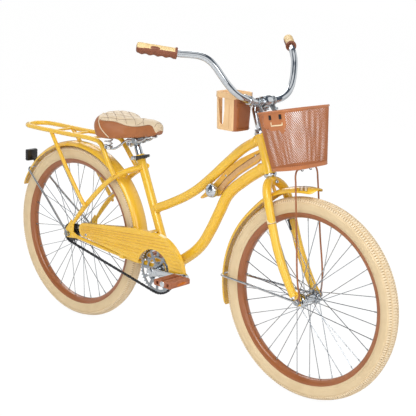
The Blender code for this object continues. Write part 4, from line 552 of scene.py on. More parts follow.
def make_saddle_cover():
    """Cream vinyl above the skirt line and brown below it."""
    made = FINISHES["cream_vinyl"].copy()
    made.name = "saddle_cover"
    tree = made.node_tree
    base = tree.nodes["Principled BSDF"].inputs["Base Color"]
    cream = base.links[0].from_socket
    brown = mottled(tree, "A36232", "8D5128", 18, 0.5)
    line = add(tree, "Attribute", attribute_name="skirt").outputs["Fac"]
    give(tree, base, mix_colour(tree, spread(tree, line, -0.08, 0.08), brown, cream))
    FINISHES["saddle_cover"] = made


make_saddle_cover()
FRAME_PAINT = ("frame", "yellow_paint", "enamel")


def coated(piece, *finishes):
    piece.data.materials.clear()
    for name in finishes:
        piece.data.materials.append(FINISHES[name])


def fitted(piece, body, slot, finish, *nodes):
    """Gives a piece its finish, hangs it on its body and lets it stand for its CAD nodes."""
    if finish:
        coated(piece, finish)
    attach(piece, body)
    if nodes:
        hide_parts(*nodes)
    return piece


def assembled(name, pieces, *fitting):
    """Several pieces made into one, and fitted."""
    return fitted(joined(name, pieces), *fitting)


# Camera, floor and light

CAMERA_PLACE = at(3.0131, -2.6749, 1.4089)
CAMERA_TARGET = at(0.65415, 0, 0.54836)
CAMERA_ROLL = 0.04063
CAMERA_LENS = 92.24


def make_camera():
    bpy.ops.object.camera_add(location=CAMERA_PLACE)
    camera = bpy.context.object
    ahead = (CAMERA_TARGET - CAMERA_PLACE).normalized()
    right = ahead.cross(UP).normalized()
    upright = right.cross(ahead)
    tilted_right = right * math.cos(CAMERA_ROLL) + upright * math.sin(CAMERA_ROLL)
    tilted_up = upright * math.cos(CAMERA_ROLL) - right * math.sin(CAMERA_ROLL)
    turn = Matrix((tilted_right, tilted_up, -ahead)).transposed()
    camera.rotation_mode = "QUATERNION"
    camera.rotation_quaternion = turn.to_quaternion()
    camera.data.sensor_width = 36.0
    camera.data.lens = CAMERA_LENS
    camera.data.clip_end = 100.0
    bpy.context.scene.camera = camera


def lamp(name, place, size, power, target=(0, 0, 0.5)):
    bpy.ops.object.light_add(type="AREA", location=place)
    light = bpy.context.object
    light.name = name
    light.data.size = size
    light.data.energy = power
    aim = Vector(target) - Vector(place)
    light.rotation_mode = "QUATERNION"
    light.rotation_quaternion = aim.to_track_quat("-Z", "Y")
    return light


FLOOR_SELF_LIGHT = 0.9


def make_floor():
    """A pale floor that keeps a soft shadow and reads white in the picture."""
    bpy.ops.mesh.primitive_plane_add(size=40.0, location=(0, 0, -0.0005))
    floor = named("floor")
    material = bpy.data.materials.new("pale_floor")
    material.use_nodes = True
    tree = material.node_tree
    tree.nodes.clear()
    diffuse = add(tree, "BsdfDiffuse", {"Color": (0.86, 0.86, 0.86, 1)})
    glow = add(tree, "Emission", {"Color": WHITE, "Strength": 1.05})
    seen = add(tree, "LightPath").outputs["Is Camera Ray"]
    share = add(tree, "Math", {0: seen, 1: FLOOR_SELF_LIGHT}, operation="MULTIPLY")
    blend = add(tree, "MixShader", {0: share, 1: diffuse, 2: glow})
    add(tree, "OutputMaterial", {"Surface": blend})
    floor.data.materials.append(material)


SOFTBOXES = ((-0.73, -0.64, 0.24, 0.86), (0.9, -0.34, 0.26, 0.88), (-0.17, 0.95, 0.26, 0.88),
             (0.0, 0.0, 1.0, 0.93))


def make_world():
    """White behind the bike; metal mirrors pale softboxes in a dim room."""
    world = bpy.data.worlds.new("studio")
    bpy.context.scene.world = world
    world.use_nodes = True
    tree = world.node_tree
    tree.nodes.clear()
    seen = add(tree, "LightPath").outputs
    place = add(tree, "TexCoord").outputs["Generated"]
    room = (0.11, 0.13, 0.16, 1)
    for *spot, edge in SOFTBOXES:
        facing = add(tree, "VectorMath", {0: place, 1: spot}, operation="DOT_PRODUCT")
        lit = spread(tree, facing.outputs["Value"], edge - 0.05, edge)
        room = mix_colour(tree, lit, room, WHITE)
    mirrored_sky = mix_colour(tree, seen["Is Glossy Ray"], WHITE, room)
    colour = mix_colour(tree, seen["Is Camera Ray"], mirrored_sky, WHITE)
    strength = spread(tree, seen["Is Diffuse Ray"], 0.0, 1.0, 1.0, 0.58)
    back = add(tree, "Background", {"Color": colour, "Strength": strength})
    add(tree, "OutputWorld", {"Surface": back})


def make_studio():
    bpy.context.scene.view_settings.view_transform = "Standard"
    make_camera()
    make_floor()
    make_world()
    lamp("key_light", (-2.6, -1.6, 3.4), 2.2, 78.0)
    lamp("front_light", (-1.0, -4.2, 1.8), 1.8, 32.0)
    lamp("back_light", (2.2, 2.6, 2.8), 2.4, 50.0)
    strip = lamp("strip_light", (-3.4, -1.5, 1.5), 0.22, 15.0)
    strip.data.shape = "RECTANGLE"
    strip.data.size_y = 2.6


# Wheels

TREAD_COUNT = 236
SPOKES_EACH_WAY = 9


def make_tyre(end, centre, body):
    """A wide casing with raised lines on its walls, and rows of blocks round its crown."""
    half = mm(
        (285, 16), (284.6, 18.6), (285.2, 19.6), (288, 20.8), (292.5, 22.6), (293.2, 23.6),
        (294.1, 23.4), (297, 24.6), (297.8, 25.2), (298.7, 25), (303, 26.2), (307.5, 26.7),
        (312, 26.4), (312.8, 26.6), (313.8, 26), (317.5, 24.6), (321.5, 22.2), (325.5, 18.2),
        (328.5, 13), (330.1, 7), (330.5, 0))
    tyre = hoop(f"{end}_tyre_casing", doubled(half), centre, steps=128, degrees=60.0)
    fitted(tyre, body, "cream_tyre", "tyre", f"{end}_tyre")
    pitch = 360.0 / TREAD_COUNT
    blocks = []
    for name, radius, left, size, lean, shift, bevel in (
        ("shoulder", 0.3222, 0.0213, (0.0098, 0.0056, 0.0048), 0.88, 0.0, 0.0008),
        ("crown", 0.3297, 0.0083, (0.015, 0.0062, 0.0034), 0.3, 0.5, 0.0)):
        for side in (-1, 1):
            degrees = 90.0 + pitch * (shift + (0.5 if side > 0 else 0.0))
            turn = Matrix.Rotation(math.radians(degrees - 90.0), 4, LEFT)
            tip = Matrix.Rotation(side * lean, 4, "Y")
            place = around(centre, radius, degrees, side * left)
            blocks.append(box(f"{name}_block", place, size, turn @ tip, bevel))
    tread = round_copies(joined(f"{end}_tyre_tread", blocks), TREAD_COUNT, centre)
    fitted(tread, body, "cream_tyre", "tread")
    # Painted shade: a darker ring on each side, under the shoulder blocks, stands for the shade in
    # the gaps between them.
    gap = mm(
        (321.6, 22.5), (322.8, 21.6), (325.2, 18.9), (326, 17.9), (325.5, 17.5), (324.7, 18.5),
        (322.3, 21.1), (321.1, 22))
    gaps = [hoop("gap", [(r, side * h) for r, h in gap], centre, steps=128) for side in (-1, 1)]
    assembled(f"{end}_tread_gaps", gaps, body, "cream_tyre", "tread_gap")


def make_rim(end, centre, body):
    half = mm(
        (265.5, 0), (265.6, 6), (266.8, 9.6), (269.2, 12.8), (273, 15.3), (279, 17), (283.5, 17.8),
        (286, 18), (287, 17.4), (286.8, 16), (286.2, 15.6), (282, 14), (278, 8), (277, 0))
    profile = [*half, *[(r, -h) for r, h in reversed(half[1:-1])]]
    rim = hoop(f"{end}_rim_ring", profile, centre, steps=128, degrees=50.0)
    fitted(rim, body, "brown_paint", "brown_enamel", f"{end}_rim")


def spoke_ends(centre, index, flange_radius, flange_left):
    """The flange end and the rim end of one spoke."""
    side = 1 if index % 2 else -1
    lean = 1 if (index // 2) % 2 else -1
    degrees = 10.0 * (index + 0.5)
    inner = around(
        centre, flange_radius - 0.003, degrees - lean * 62, side * (flange_left + lean * 0.0019))
    return inner, around(centre, 0.266, degrees, side * 0.003)


def make_spokes(end, centre, body, flange_radius, flange_left):
    wires = []
    nipples = []
    for index in range(4):
        inner, outer = spoke_ends(centre, index, flange_radius, flange_left)
        wires.append(rod("wire", [inner, outer], 0.00125, 1))
        away = (outer - inner).normalized()
        nipples.append(rod(
            "nipple", [outer - away * 0.013, outer - away * 0.0115, outer], 0.0021, 1,
            [0.6, 1.0, 1.0]))
        elbow = LEFT * (1 if inner.x > 0 else -1) * 0.0006
        nipples.append(rod("elbow", [inner - elbow * 5, inner + elbow * 4], 0.0019, 1))
    wires = round_copies(joined(f"{end}_spokes", wires), SPOKES_EACH_WAY, centre)
    fitted(wires, body, "chrome", "ring_steel")
    nipples = round_copies(joined(f"{end}_nipples", nipples), SPOKES_EACH_WAY, centre)
    fitted(nipples, body, "chrome", "steel")


HUBS = {
    "front": mm(
        (6, 40), (11.5, 40), (13.2, 38.5), (13.6, 36.4), (21.5, 35), (24, 34), (24.4, 33),
        (24, 32), (21.2, 31), (17, 29.5), (15, 26.5), (14, 20), (13.7, 0)),
    "rear": mm(
        (6, 38.5), (15, 38.5), (17, 37), (17.6, 34), (27, 31), (29.8, 30), (30.4, 29),
        (29.8, 27.8), (26.2, 26.8), (22.2, 25), (19.6, 18), (18.8, 0))}


def make_hub(end, centre, body, steps):
    hub = hoop(f"{end}_hub_shell", doubled(HUBS[end]), centre, steps=steps, degrees=35.0)
    fitted(hub, body, "chrome", "chrome", f"{end}_hub")


def make_valve(end, centre, body, degrees):
    outer = around(centre, 0.264, degrees)
    inner = around(centre, 0.228, degrees)
    share = (0.0, 0.12, 0.14, 0.6, 0.62, 1.0)
    path = [outer.lerp(inner, t) for t in share]
    valve = rod(f"{end}_valve", path, 0.004, 2, [1.2, 1.1, 0.8, 0.75, 1.0, 0.9])
    fitted(valve, body, "black_plastic", "black_plastic")


def axle_end(name, centre, side, starts):
    """Threads, washer and track nut on one end of an axle."""
    washer, nut, tip = starts
    out = LEFT * side
    thread = spun(
        "thread",
        [(0, 0.038), (0.0048, 0.038),
         *[(0.0048 - 0.0004 * (k % 2), washer - 0.01 + 0.0012 * k)
           for k in range(int((tip - washer + 0.01) / 0.0012))], (0.004, tip), (0, tip)], centre,
        out, 16)
    ring = hoop("washer", raised(washer, (5, 0), (9.8, 0), (9.8, 1.2), (5, 1.2)), centre, out, 28)
    hexagonal = hexagon("nut", centre + out * nut, out, 0.0092, 0.0085, 0.005)
    return joined(name, [thread, ring, hexagonal])


def make_axles():
    for end, centre, body, washer, cone in (
        ("front", FRONT_AXLE, "steering", 0.0598, 0.0425),
        ("rear", REAR_AXLE, "frame", 0.0651, 0.049)):
        ends = [axle_end("end", centre, side, (washer, washer + 0.0012, washer + 0.0138))
                for side in (-1, 1)]
        for side in (-1, 1):
            ends.append(hoop(
                "cone", raised(cone, (4.5, 0), (7.8, 0), (8.2, 2), (8.2, 5.2), (4.5, 5.2)), centre,
                LEFT * side, 20))
        assembled(f"{end}_axle_hardware", ends, body, "zinc_steel", "steel", f"{end}_axle")


WHEELS = (("front", FRONT_AXLE, "front_wheel"), ("rear", REAR_AXLE, "rear_wheel"))


def make_wheels():
    for wheel in WHEELS:
        make_tyre(*wheel)
        make_rim(*wheel)
    for wheel, flange in zip(WHEELS, ((0.0226, 0.033), (0.029, 0.029))):
        make_spokes(*wheel, *flange)
    for wheel, steps in zip(WHEELS, (40, 44)):
        make_hub(*wheel, steps)
    for wheel, degrees in zip(WHEELS, (112, 3)):
        make_valve(*wheel, degrees)
    make_axles()


# Frame

HEAD_LOW = 0.4215
HEAD_HIGH = HEAD_LOW + 0.132
SEAT_TUBE_TOP = 0.682


def make_head_tube():
    radius = 0.0185
    low = HEAD_LOW
    high = HEAD_HIGH
    profile = [(0.016, low), (radius + 0.0012, low), (radius + 0.0015, low + 0.001),
               (radius + 0.0015, low + 0.0075), (radius, low + 0.011), (radius, high - 0.011),
               (radius + 0.0015, high - 0.0075), (radius + 0.0015, high - 0.001),
               (radius + 0.0012, high), (0.016, high)]
    tube_piece = hoop("painted_head_tube", profile, STEER_FOOT, STEER_UP, 40)
    fitted(tube_piece, *FRAME_PAINT, "head_tube")


TOP_TUBE = mm((882.5, 826), (807, 783), (735, 722), (655, 649), (580, 590), (480, 534), (397, 496))
DOWN_TUBE = mm(
    (907.9, 737.9), (810, 671), (744, 612), (708, 545), (672, 475), (630, 410), (565, 352),
    (465.4, 290))
CHAINSTAY = mm(
    (455, 21.5, 291.2), (385, 32.5, 297.5), (330, 44, 302.5), (200, 53.5, 314.5), (60, 59, 327.2),
    (26, 60, 330.2))
SEATSTAY = mm(
    (340, 13.5, 643.5), (292, 40, 624), (237, 51, 594), (180, 54, 548), (120, 56, 490),
    (68, 57.5, 433), (14, 60, 364))
DROPOUT = mm(
    (-29.5, 338.2), (2, 337.6), (5.5, 334.5), (5.5, 330.5), (2, 327.4), (-27.2, 327.4), (-26, 323),
    (-6, 317), (12, 319), (44, 322), (44, 337), (26, 344), (28, 378), (14, 390), (-4, 366),
    (-20, 346))


def weld_bead(name, centre, axis, radius, thickness=0.0022):
    """A smooth raised ring where a tube is brazed to its neighbour."""
    profile = [(radius - 0.001, -0.0055), (radius + thickness * 0.55, -0.0028),
               (radius + thickness, 0.0), (radius + thickness * 0.55, 0.0028),
               (radius - 0.001, 0.0055)]
    return hoop(name, profile, centre, axis.normalized(), 32, degrees=70.0)


def make_main_tubes():
    top = tube("top_bar", [at(f, 0, z) for f, z in TOP_TUBE], 0.0165, round_steps=8, steps=8)
    front_bead = weld_bead(
        "bead", at(0.856, 0, 0.813), at(0.807, 0, 0.783) - at(0.8825, 0, 0.826), 0.0165)
    rear_bead = weld_bead(
        "bead", at(0.415, 0, 0.5035), at(0.48, 0, 0.534) - at(0.397, 0, 0.496), 0.0165)
    assembled("painted_top_tube", [top, front_bead, rear_bead], *FRAME_PAINT, "top_tube")
    down = tube("down_bar", [at(f, 0, z) for f, z in DOWN_TUBE], 0.0195, round_steps=8, steps=8)
    bead = weld_bead(
        "bead", at(0.883, 0, 0.7225), at(0.81, 0, 0.671) - at(0.9079, 0, 0.7379), 0.0195)
    assembled("painted_down_tube", [down, bead], *FRAME_PAINT, "down_tube")
    seat = spun(
        "painted_seat_tube",
        [(0, (0.315 - SEAT_TUBE_TOP) / SEAT_UP.z), (0.016, (0.302 - SEAT_TUBE_TOP) / SEAT_UP.z),
         *mm((16, -0.6), (15.5, 0), (13.6, 0), (13.6, -50), (0, -50))],
        on_seat_tube(SEAT_TUBE_TOP), SEAT_UP, 40)
    fitted(seat, *FRAME_PAINT, "seat_tube")
    half = 0.034
    shell = hoop(
        "painted_bracket_shell",
        [*raised(-half, (25.7, 0), (27.9, 0), (28.7, 0.8)),
         *raised(half, (28.7, -0.8), (27.9, 0), (25.7, 0))], CRANK_CENTRE, LEFT, 48)
    fitted(shell, *FRAME_PAINT, "bottom_bracket_shell")


def make_rear_triangle():
    for side, end in SIDES:
        stay = tube(
            "lower_stay", [at(f, side * l, z) for f, l, z in CHAINSTAY], 0.0085,
            sizes=[1.15, 1.05, 1.0, 1.0, 0.85, 0.7], round_steps=6, steps=6)
        near, far = side * 0.0576, side * 0.0624
        plate = flat_piece("dropout", [DROPOUT], near, far, 0.0006)
        assembled(f"painted_chainstay_{end}", [stay, plate], *FRAME_PAINT, f"chainstay_{end}")
        upper = tube(
            f"painted_seatstay_{end}", [at(f, side * l, z) for f, l, z in SEATSTAY], 0.0095,
            sizes=[1.0, 1.0, 1.0, 1.0, 1.0, 0.95, 0.6], round_steps=6, steps=6)
        fitted(upper, *FRAME_PAINT, f"seatstay_{end}")
    for name, forward, up, half in (
        ("seatstay_bridge", 0.2647, 0.61, 0.046), ("chainstay_bridge", 0.385, 0.299, 0.0325)):
        bridge = rod(f"painted_{name}", [at(forward, -half, up), at(forward, half, up)], 0.006, 5)
        fitted(bridge, *FRAME_PAINT, name)


# Fenders and rack

FENDER_SECTION = mm(
    (335.2, 31.8), (336.2, 33), (338.5, 32.8), (342.8, 30), (346.8, 25.5), (349.8, 19),
    (351.4, 10.5), (351.9, 0))
FRONT_RISE = 0.0135


def tip_rise(degrees):
    """How far the front fender lifts off its circle towards its front tip."""
    share = held((137.0 - degrees) / 28.0)
    return FRONT_RISE * share * share * (3 - 2 * share)


def fender(name, centre, start, end, tip_start, tip_end):
    """A rolled channel whose ends narrow to rounded tips."""
    pieces = int(abs(end - start) / 1.5)
    first = [around(centre, r, start, h) for r, h in doubled(FENDER_SECTION)]
    shell = wire_outline(name, first, closed=False)
    with editing(shell):
        bpy.ops.mesh.spin(steps=pieces, angle=math.radians(end - start), center=centre, axis=LEFT)
    reach = 4.5
    for point in shell.data.vertices:
        aside = point.co - centre
        degrees = math.degrees(math.atan2(aside.z, -aside.y)) % 360
        if tip_start:
            radius = math.hypot(aside.y, aside.z)
            point.co.y += aside.y * tip_rise(degrees) / radius
            point.co.z += aside.z * tip_rise(degrees) / radius
        near = min(
            abs(degrees - start) if tip_start else reach, abs(degrees - end) if tip_end else reach)
        if near < reach:
            width = math.sqrt(max(0.0, 1 - (1 - near / reach) ** 2))
            point.co.x *= 0.4 + 0.6 * width
            radius = math.hypot(aside.y, aside.z)
            out = (FENDER_SECTION[-1][0] - radius) * (1 - width) * 0.9 / radius
            point.co.y += aside.y * out
            point.co.z += aside.z * out
    clean(shell, 60.0)
    modify(shell, "SOLIDIFY", thickness=0.0011, offset=-1.0)
    return clean(shell, 50.0)


def fender_radius(left):
    """How far a fender's skin is from the axle at this distance from its middle."""
    for (r0, h0), (r1, h1) in zip(FENDER_SECTION[1:], FENDER_SECTION[2:]):
        if abs(left) >= h1:
            return r1 + (r0 - r1) * min(1.0, (abs(left) - h1) / (h0 - h1))
    return FENDER_SECTION[-1][0]


def chevron(name, centre, start, width, lift, half=0.029):
    """A decal bent over the fender, its arms swept towards the front."""
    def spot(across, along):
        left = (across - 0.5) * 2 * half
        degrees = start - 3.2 * abs(left) / half + width * along
        return around(centre, fender_radius(left) + tip_rise(degrees) + lift, degrees, left)

    sheet = grid_sheet(name, 28, 2, spot, around_it=False)
    modify(sheet, "SOLIDIFY", thickness=0.0002, offset=1.0)
    return clean(sheet)


def make_chevrons():
    dark = [chevron("dark", FRONT_AXLE, d - 0.4, 2.25, 0.0002, 0.0296) for d in (95.0, 97.6)]
    assembled("chevron_edges", dark, "steering", "yellow_paint", "dark_line")
    pale = [chevron("pale", FRONT_AXLE, d, 1.45, 0.0005) for d in (95.0, 97.6)]
    assembled("chevrons", pale, "steering", "yellow_paint", "cream_band")


def fender_stay(centre, degrees, eye_left):
    """A flat strap looped over a fender, its ends eyes on the axle."""
    half = [around(centre, 0.0, degrees, eye_left + 0.001),
            around(centre, 0.036, degrees, eye_left + 0.001),
            around(centre, 0.18, degrees, eye_left * 0.42 + 0.02),
            around(centre, 0.328, degrees, 0.0346)]
    over = [around(centre, 0.337 + 0.0165 * math.sin(turn), degrees, 0.0346 * math.cos(turn))
            for turn in (math.pi * k / 8 for k in range(9))]
    path = [*half, *over, *[mirrored(p) for p in reversed(half)]]
    return rod("strap", path, 0.0042, 3)


def make_fenders():
    rear = fender("rear_fender_shell", REAR_AXLE, 2.0, 158.0, False, True)
    tab = rod(
        "tab", [around(REAR_AXLE, 0.351, 7.0), at(0.364, 0, 0.356), at(0.376, 0, 0.312)], 0.005, 2)
    brace = rod(
        "brace", [around(REAR_AXLE, 0.351, 47.5), around(REAR_AXLE, 0.3777, 47.5)], 0.005, 3)
    assembled("painted_rear_fender", [rear, tab, brace], *FRAME_PAINT, "rear_fender")
    front = fender("front_fender_shell", FRONT_AXLE, 87.0, 197.0, True, True)
    bracket = rod(
        "bracket", [around(FRONT_AXLE, 0.351, 116.1), around(FRONT_AXLE, 0.3838, 116.1)], 0.006, 3)
    assembled(
        "painted_front_fender", [front, bracket], "steering", "yellow_paint", "enamel",
        "front_fender")
    for end, centre, degrees, left, body in (
        ("rear", REAR_AXLE, 143.5, 0.0628, "frame"),
        ("front", FRONT_AXLE, 179.0, 0.0553, "steering")):
        strap = fender_stay(centre, degrees, left)
        eyes = [hoop(
            "eye", raised(left, (5.2, 0), (9, 0), (9.4, 1), (9, 2), (5.2, 2)), centre, LEFT * side,
            24) for side in (-1, 1)]
        assembled(
            f"{end}_stay_straps", [strap, *eyes], body, "zinc_steel", "bright_steel",
            f"{end}_fender_stays")


RACK_RAIL = mm(
    (251, 65.5, 601), (212, 60.5, 648), (178, 55, 693), (160, 54, 710), (135, 54, 716),
    (-50, 54, 716), (-230, 54, 716), (-262, 48, 716), (-281, 28, 716))
RACK_LEG = mm((-116, 54, 714), (-40, 64, 626), (50, 72, 522), (95, 72.5, 470))


def make_rack():
    right = [at(f, -l, z) for f, l, z in RACK_RAIL]
    path = [*right, at(-0.287, 0, 0.716), *[mirrored(p) for p in reversed(right)]]
    pieces = [tube("rail", path, 0.0088, round_steps=6, steps=6)]
    leg = tube("leg", [at(f, -l, z) for f, l, z in RACK_LEG], 0.0076, round_steps=5, steps=5)
    pieces.append(both_sides("legs", leg))
    foot = rod("foot", [at(0.095, -0.0725, 0.47), at(0.104, -0.07, 0.46)], 0.0076, 4, [1.0, 0.6])
    pieces.append(both_sides("feet", foot))
    for forward in (-0.116, -0.015, 0.09):
        pieces.append(rod(
            "bar", [at(forward, -0.054, 0.714), at(forward, 0.054, 0.714)], 0.0048, 4))
    pieces.append(rod("post", [at(-0.015, 0, 0.714), at(-0.015, 0, 0.6851)], 0.005, 4))
    assembled("painted_rack", pieces, *FRAME_PAINT, "rear_rack")


def make_reflector():
    """A black ribbed housing with its red lens facing back."""
    centre = at(-0.3, 0, 0.5875)
    housing = box("housing", centre, (0.05, 0.016, 0.045), bevel=0.003)
    ribs = [box(
        "rib", centre + UP * (0.0075 * k - 0.015) + FORWARD * 0.0002, (0.0515, 0.015, 0.0026),
        bevel=0.001) for k in range(5)]
    foot = rod(
        "foot", [around(REAR_AXLE, 0.3528, 139.6), around(REAR_AXLE, 0.389, 139.6)], 0.006, 3)
    assembled(
        "reflector_housing", [housing, *ribs, foot], "frame", "black_plastic", "black_plastic",
        "rear_reflector")
    lens = box("reflector_lens", centre - FORWARD * 0.0085, (0.044, 0.005, 0.039), bevel=0.0015)
    fitted(lens, "frame", "black_plastic", "red")


# Fork, headset, stem and bar

FORK_CROWN_TOP = 0.4084
FORK_TOP = 0.5725
FORK_PLACES = mm(
    (398, -1, 6), (390.5, 2, 24), (366, 7, 44.5), (330.4, 9, 52.5), (240, 5, 55), (160, 5, 55.5),
    (85, 14, 55.5), (20, 27, 55.5))
FORK_SIZES = (1.1, 1.16, 1.16, 1.12, 1.1, 1.09, 1.08, 1.0)


def side_spot(point):
    """A point's place in the side plane, as (forward, up)."""
    return (MIDDLE - point.y, point.z)


def make_fork():
    blades = []
    for side in (-1, 1):
        path = [steered(a, h, side * l) for a, h, l in FORK_PLACES]
        blades.append(tube("blade", path, 0.013, sizes=FORK_SIZES, round_steps=8, steps=8))
        tab = mm(
            (34, -6), (22, -9), (10, -12), (2, -13), (5, -5), (-13, -5.1), (-13, 5.1), (5, 5),
            (2, 12.5), (10, 11), (22, 8), (34, 4))
        loop = [side_spot(FRONT_AXLE + STEER_UP * a + STEER_AHEAD * h) for a, h in tab]
        blades.append(flat_piece("tab", [loop], side * 0.05, side * 0.055, 0.0008))
    crown = spun(
        "crown",
        raised(
            FORK_CROWN_TOP, (0, -26), (11, -25.5), (16, -20), (18.8, -8), (18.6, -2), (17.2, 0),
            (0, 0)), STEER_FOOT, STEER_UP, 40)
    assembled("painted_fork", [crown, *blades], "steering", "yellow_paint", "enamel", "fork")
    steerer = hoop(
        "steerer_thread",
        [(0.01, FORK_TOP - 0.005), (0.0127, FORK_TOP - 0.005),
         *[(0.0127 - 0.0005 * (k % 2), FORK_TOP - 0.004 + 0.0008 * k) for k in range(5)],
         (0.012, FORK_TOP), (0.01, FORK_TOP)], STEER_FOOT, STEER_UP, 32)
    fitted(steerer, "steering", "chrome", "steel")
    bolt_place = steered(0.3905, 0.0185, 0)
    bolt = screw_head("crown_bolt", bolt_place, STEER_AHEAD, 0.0062, 0.005)
    fitted(bolt, "steering", "chrome", "bright_steel")


def make_fork_bands():
    """A plain cream band between two dark lines on each blade."""
    for side, end in SIDES:
        for name, low, high, grown, finish in (
            ("band", 0.263, 0.308, 0.00025, "cream_band"),
            ("upper_line", 0.308, 0.3096, 0.0003, "dark_line"),
            ("lower_line", 0.2614, 0.263, 0.0003, "dark_line")):
            shares = [(low + (high - low) * t / 4 - 0.24) / 0.0904 for t in range(5)]
            path = [steered(
                0.24 + 0.0904 * k, 0.005 + 0.004 * k - 0.0006 * math.sin(math.pi * k),
                side * (0.055 - 0.0025 * k + 0.0005 * math.sin(math.pi * k))) for k in shares]
            sizes = [(1.1 + 0.02 * k) * 0.013 + grown + 0.0002 for k in shares]
            band = tube(
                f"fork_{name}_{end}", path, 1.0, sizes=sizes, corners=True, round_steps=8, steps=2)
            fitted(band, "steering", "yellow_paint", finish)


def make_headset():
    low = HEAD_LOW - 0.0003
    high = HEAD_HIGH + 0.0003
    lower = hoop(
        "polished_lower_cup",
        raised(
            low, (13, -12.5), (16, -12.5), (16.8, -11), (18.6, -10.4), (20, -8.8), (21.2, -5),
            (21.6, -1), (21.2, 0), (13, 0)), STEER_FOOT, STEER_UP, 40)
    fitted(lower, "frame", "chrome", "chrome", "headset_lower_cup")
    upper = hoop(
        "polished_upper_cup",
        raised(
            high, (13, 0), (21.2, 0), (21.6, 1), (21.2, 3.4), (19.6, 8), (18.2, 8.8), (17, 9.6),
            (16.4, 10), (13, 10)), STEER_FOOT, STEER_UP, 40)
    fitted(upper, "frame", "chrome", "chrome", "headset_upper_cup")
    nut = hexagon(
        "polished_locknut", STEER_FOOT + STEER_UP * (high + 0.0122), STEER_UP, 0.0192, 0.0062)
    washer = hoop(
        "washer", raised(high, (13, 10.3), (18.4, 10.3), (18.8, 11), (18.4, 11.9), (13, 11.9)),
        STEER_FOOT, STEER_UP, 36)
    assembled("polished_locknut", [nut, washer], "steering", "chrome", "chrome", "headset_locknut")


BAR_ALONG = 0.65
BAR_AHEAD = 0.049
BAR_CENTRE = steered(BAR_ALONG, BAR_AHEAD, 0)
BAR_PLACES = mm(
    (0, 43, 0), (5, 68, 4), (2, 105, 15), (-8, 137, 32), (-20, 164, 59), (-34, 186, 92),
    (-48, 202, 120), (-63, 214.5, 137), (-80, 230, 147), (-99, 252, 151), (-122, 279, 153),
    (-210, 374, 169))


def bar_half(side):
    return [BAR_CENTRE + FORWARD * f + LEFT * side * l + UP * z for f, l, z in BAR_PLACES]


def make_stem():
    top = BAR_ALONG - 0.012
    quill = spun(
        "quill",
        [*raised(FORK_TOP, (0, -10), (10.8, -10), (10.8, 2), (12.5, 5)),
         *raised(top, (12.7, -4), (12.4, 1.5), (10, 6), (6, 7.5), (0, 7.8))], STEER_FOOT, STEER_UP,
        40)
    arm = tube(
        "arm",
        [steered(top - 0.016, 0.0, 0), steered(top - 0.01, 0.012, 0),
         steered(BAR_ALONG - 0.009, 0.028, 0), steered(BAR_ALONG - 0.002, BAR_AHEAD - 0.004, 0)],
        0.0124, sizes=[0.85, 0.95, 1.0, 1.15], round_steps=8, steps=8)
    clamp = hoop(
        "clamp",
        mm(
            (12.7, -20), (17.2, -20), (18.2, -18.8), (18.4, 0), (18.2, 18.8), (17.2, 20),
            (12.7, 20)), BAR_CENTRE, LEFT, 44)
    upper_ear = box("ear", BAR_CENTRE - UP * 0.0172, (0.025, 0.0145, 0.0085), bevel=0.0018)
    lower_ear = box("ear", BAR_CENTRE - UP * 0.0254, (0.025, 0.0145, 0.005), bevel=0.0018)
    assembled(
        "polished_stem", [quill, arm, clamp, upper_ear, lower_ear], "steering", "chrome", "chrome",
        "stem")
    bolt = hexagon("expander_bolt", steered(top + 0.007, 0, 0), STEER_UP, 0.0068, 0.005)
    clamp_bolt = hexagon("clamp_bolt", BAR_CENTRE - UP * 0.0275, -UP, 0.0056, 0.0042)
    assembled("stem_bolts", [bolt, clamp_bolt], "steering", "chrome", "bright_steel")


def make_handlebar():
    path = [*reversed(bar_half(-1)), *bar_half(1)]
    bar = tube("bar", path, 0.0111, round_steps=8, steps=8)
    half = 0.0225
    sleeve = hoop(
        "sleeve",
        [*raised(-half, (10.5, -4.5), (11.2, -4), (12.7, 0)),
         *raised(half, (12.7, 0), (11.2, 4), (10.5, 4.5))], BAR_CENTRE, LEFT, 36)
    assembled("polished_bar", [bar, sleeve], "steering", "chrome", "chrome", "handlebar")


GRIP_LENGTH = 0.125


def grip_radius(share, low):
    """The grip's radius at this share of its length and this much of it facing down."""
    base = 0.0158 + 0.001 * share
    end = max(0.0, (share - 0.955) / 0.045)
    base -= 0.0045 * end * end
    waves = 0.0016 * math.cos(math.tau * (share - 0.06) * 5.0)
    return base + max(0.0, low) ** 1.5 * (0.0012 + waves) * (1 - end)


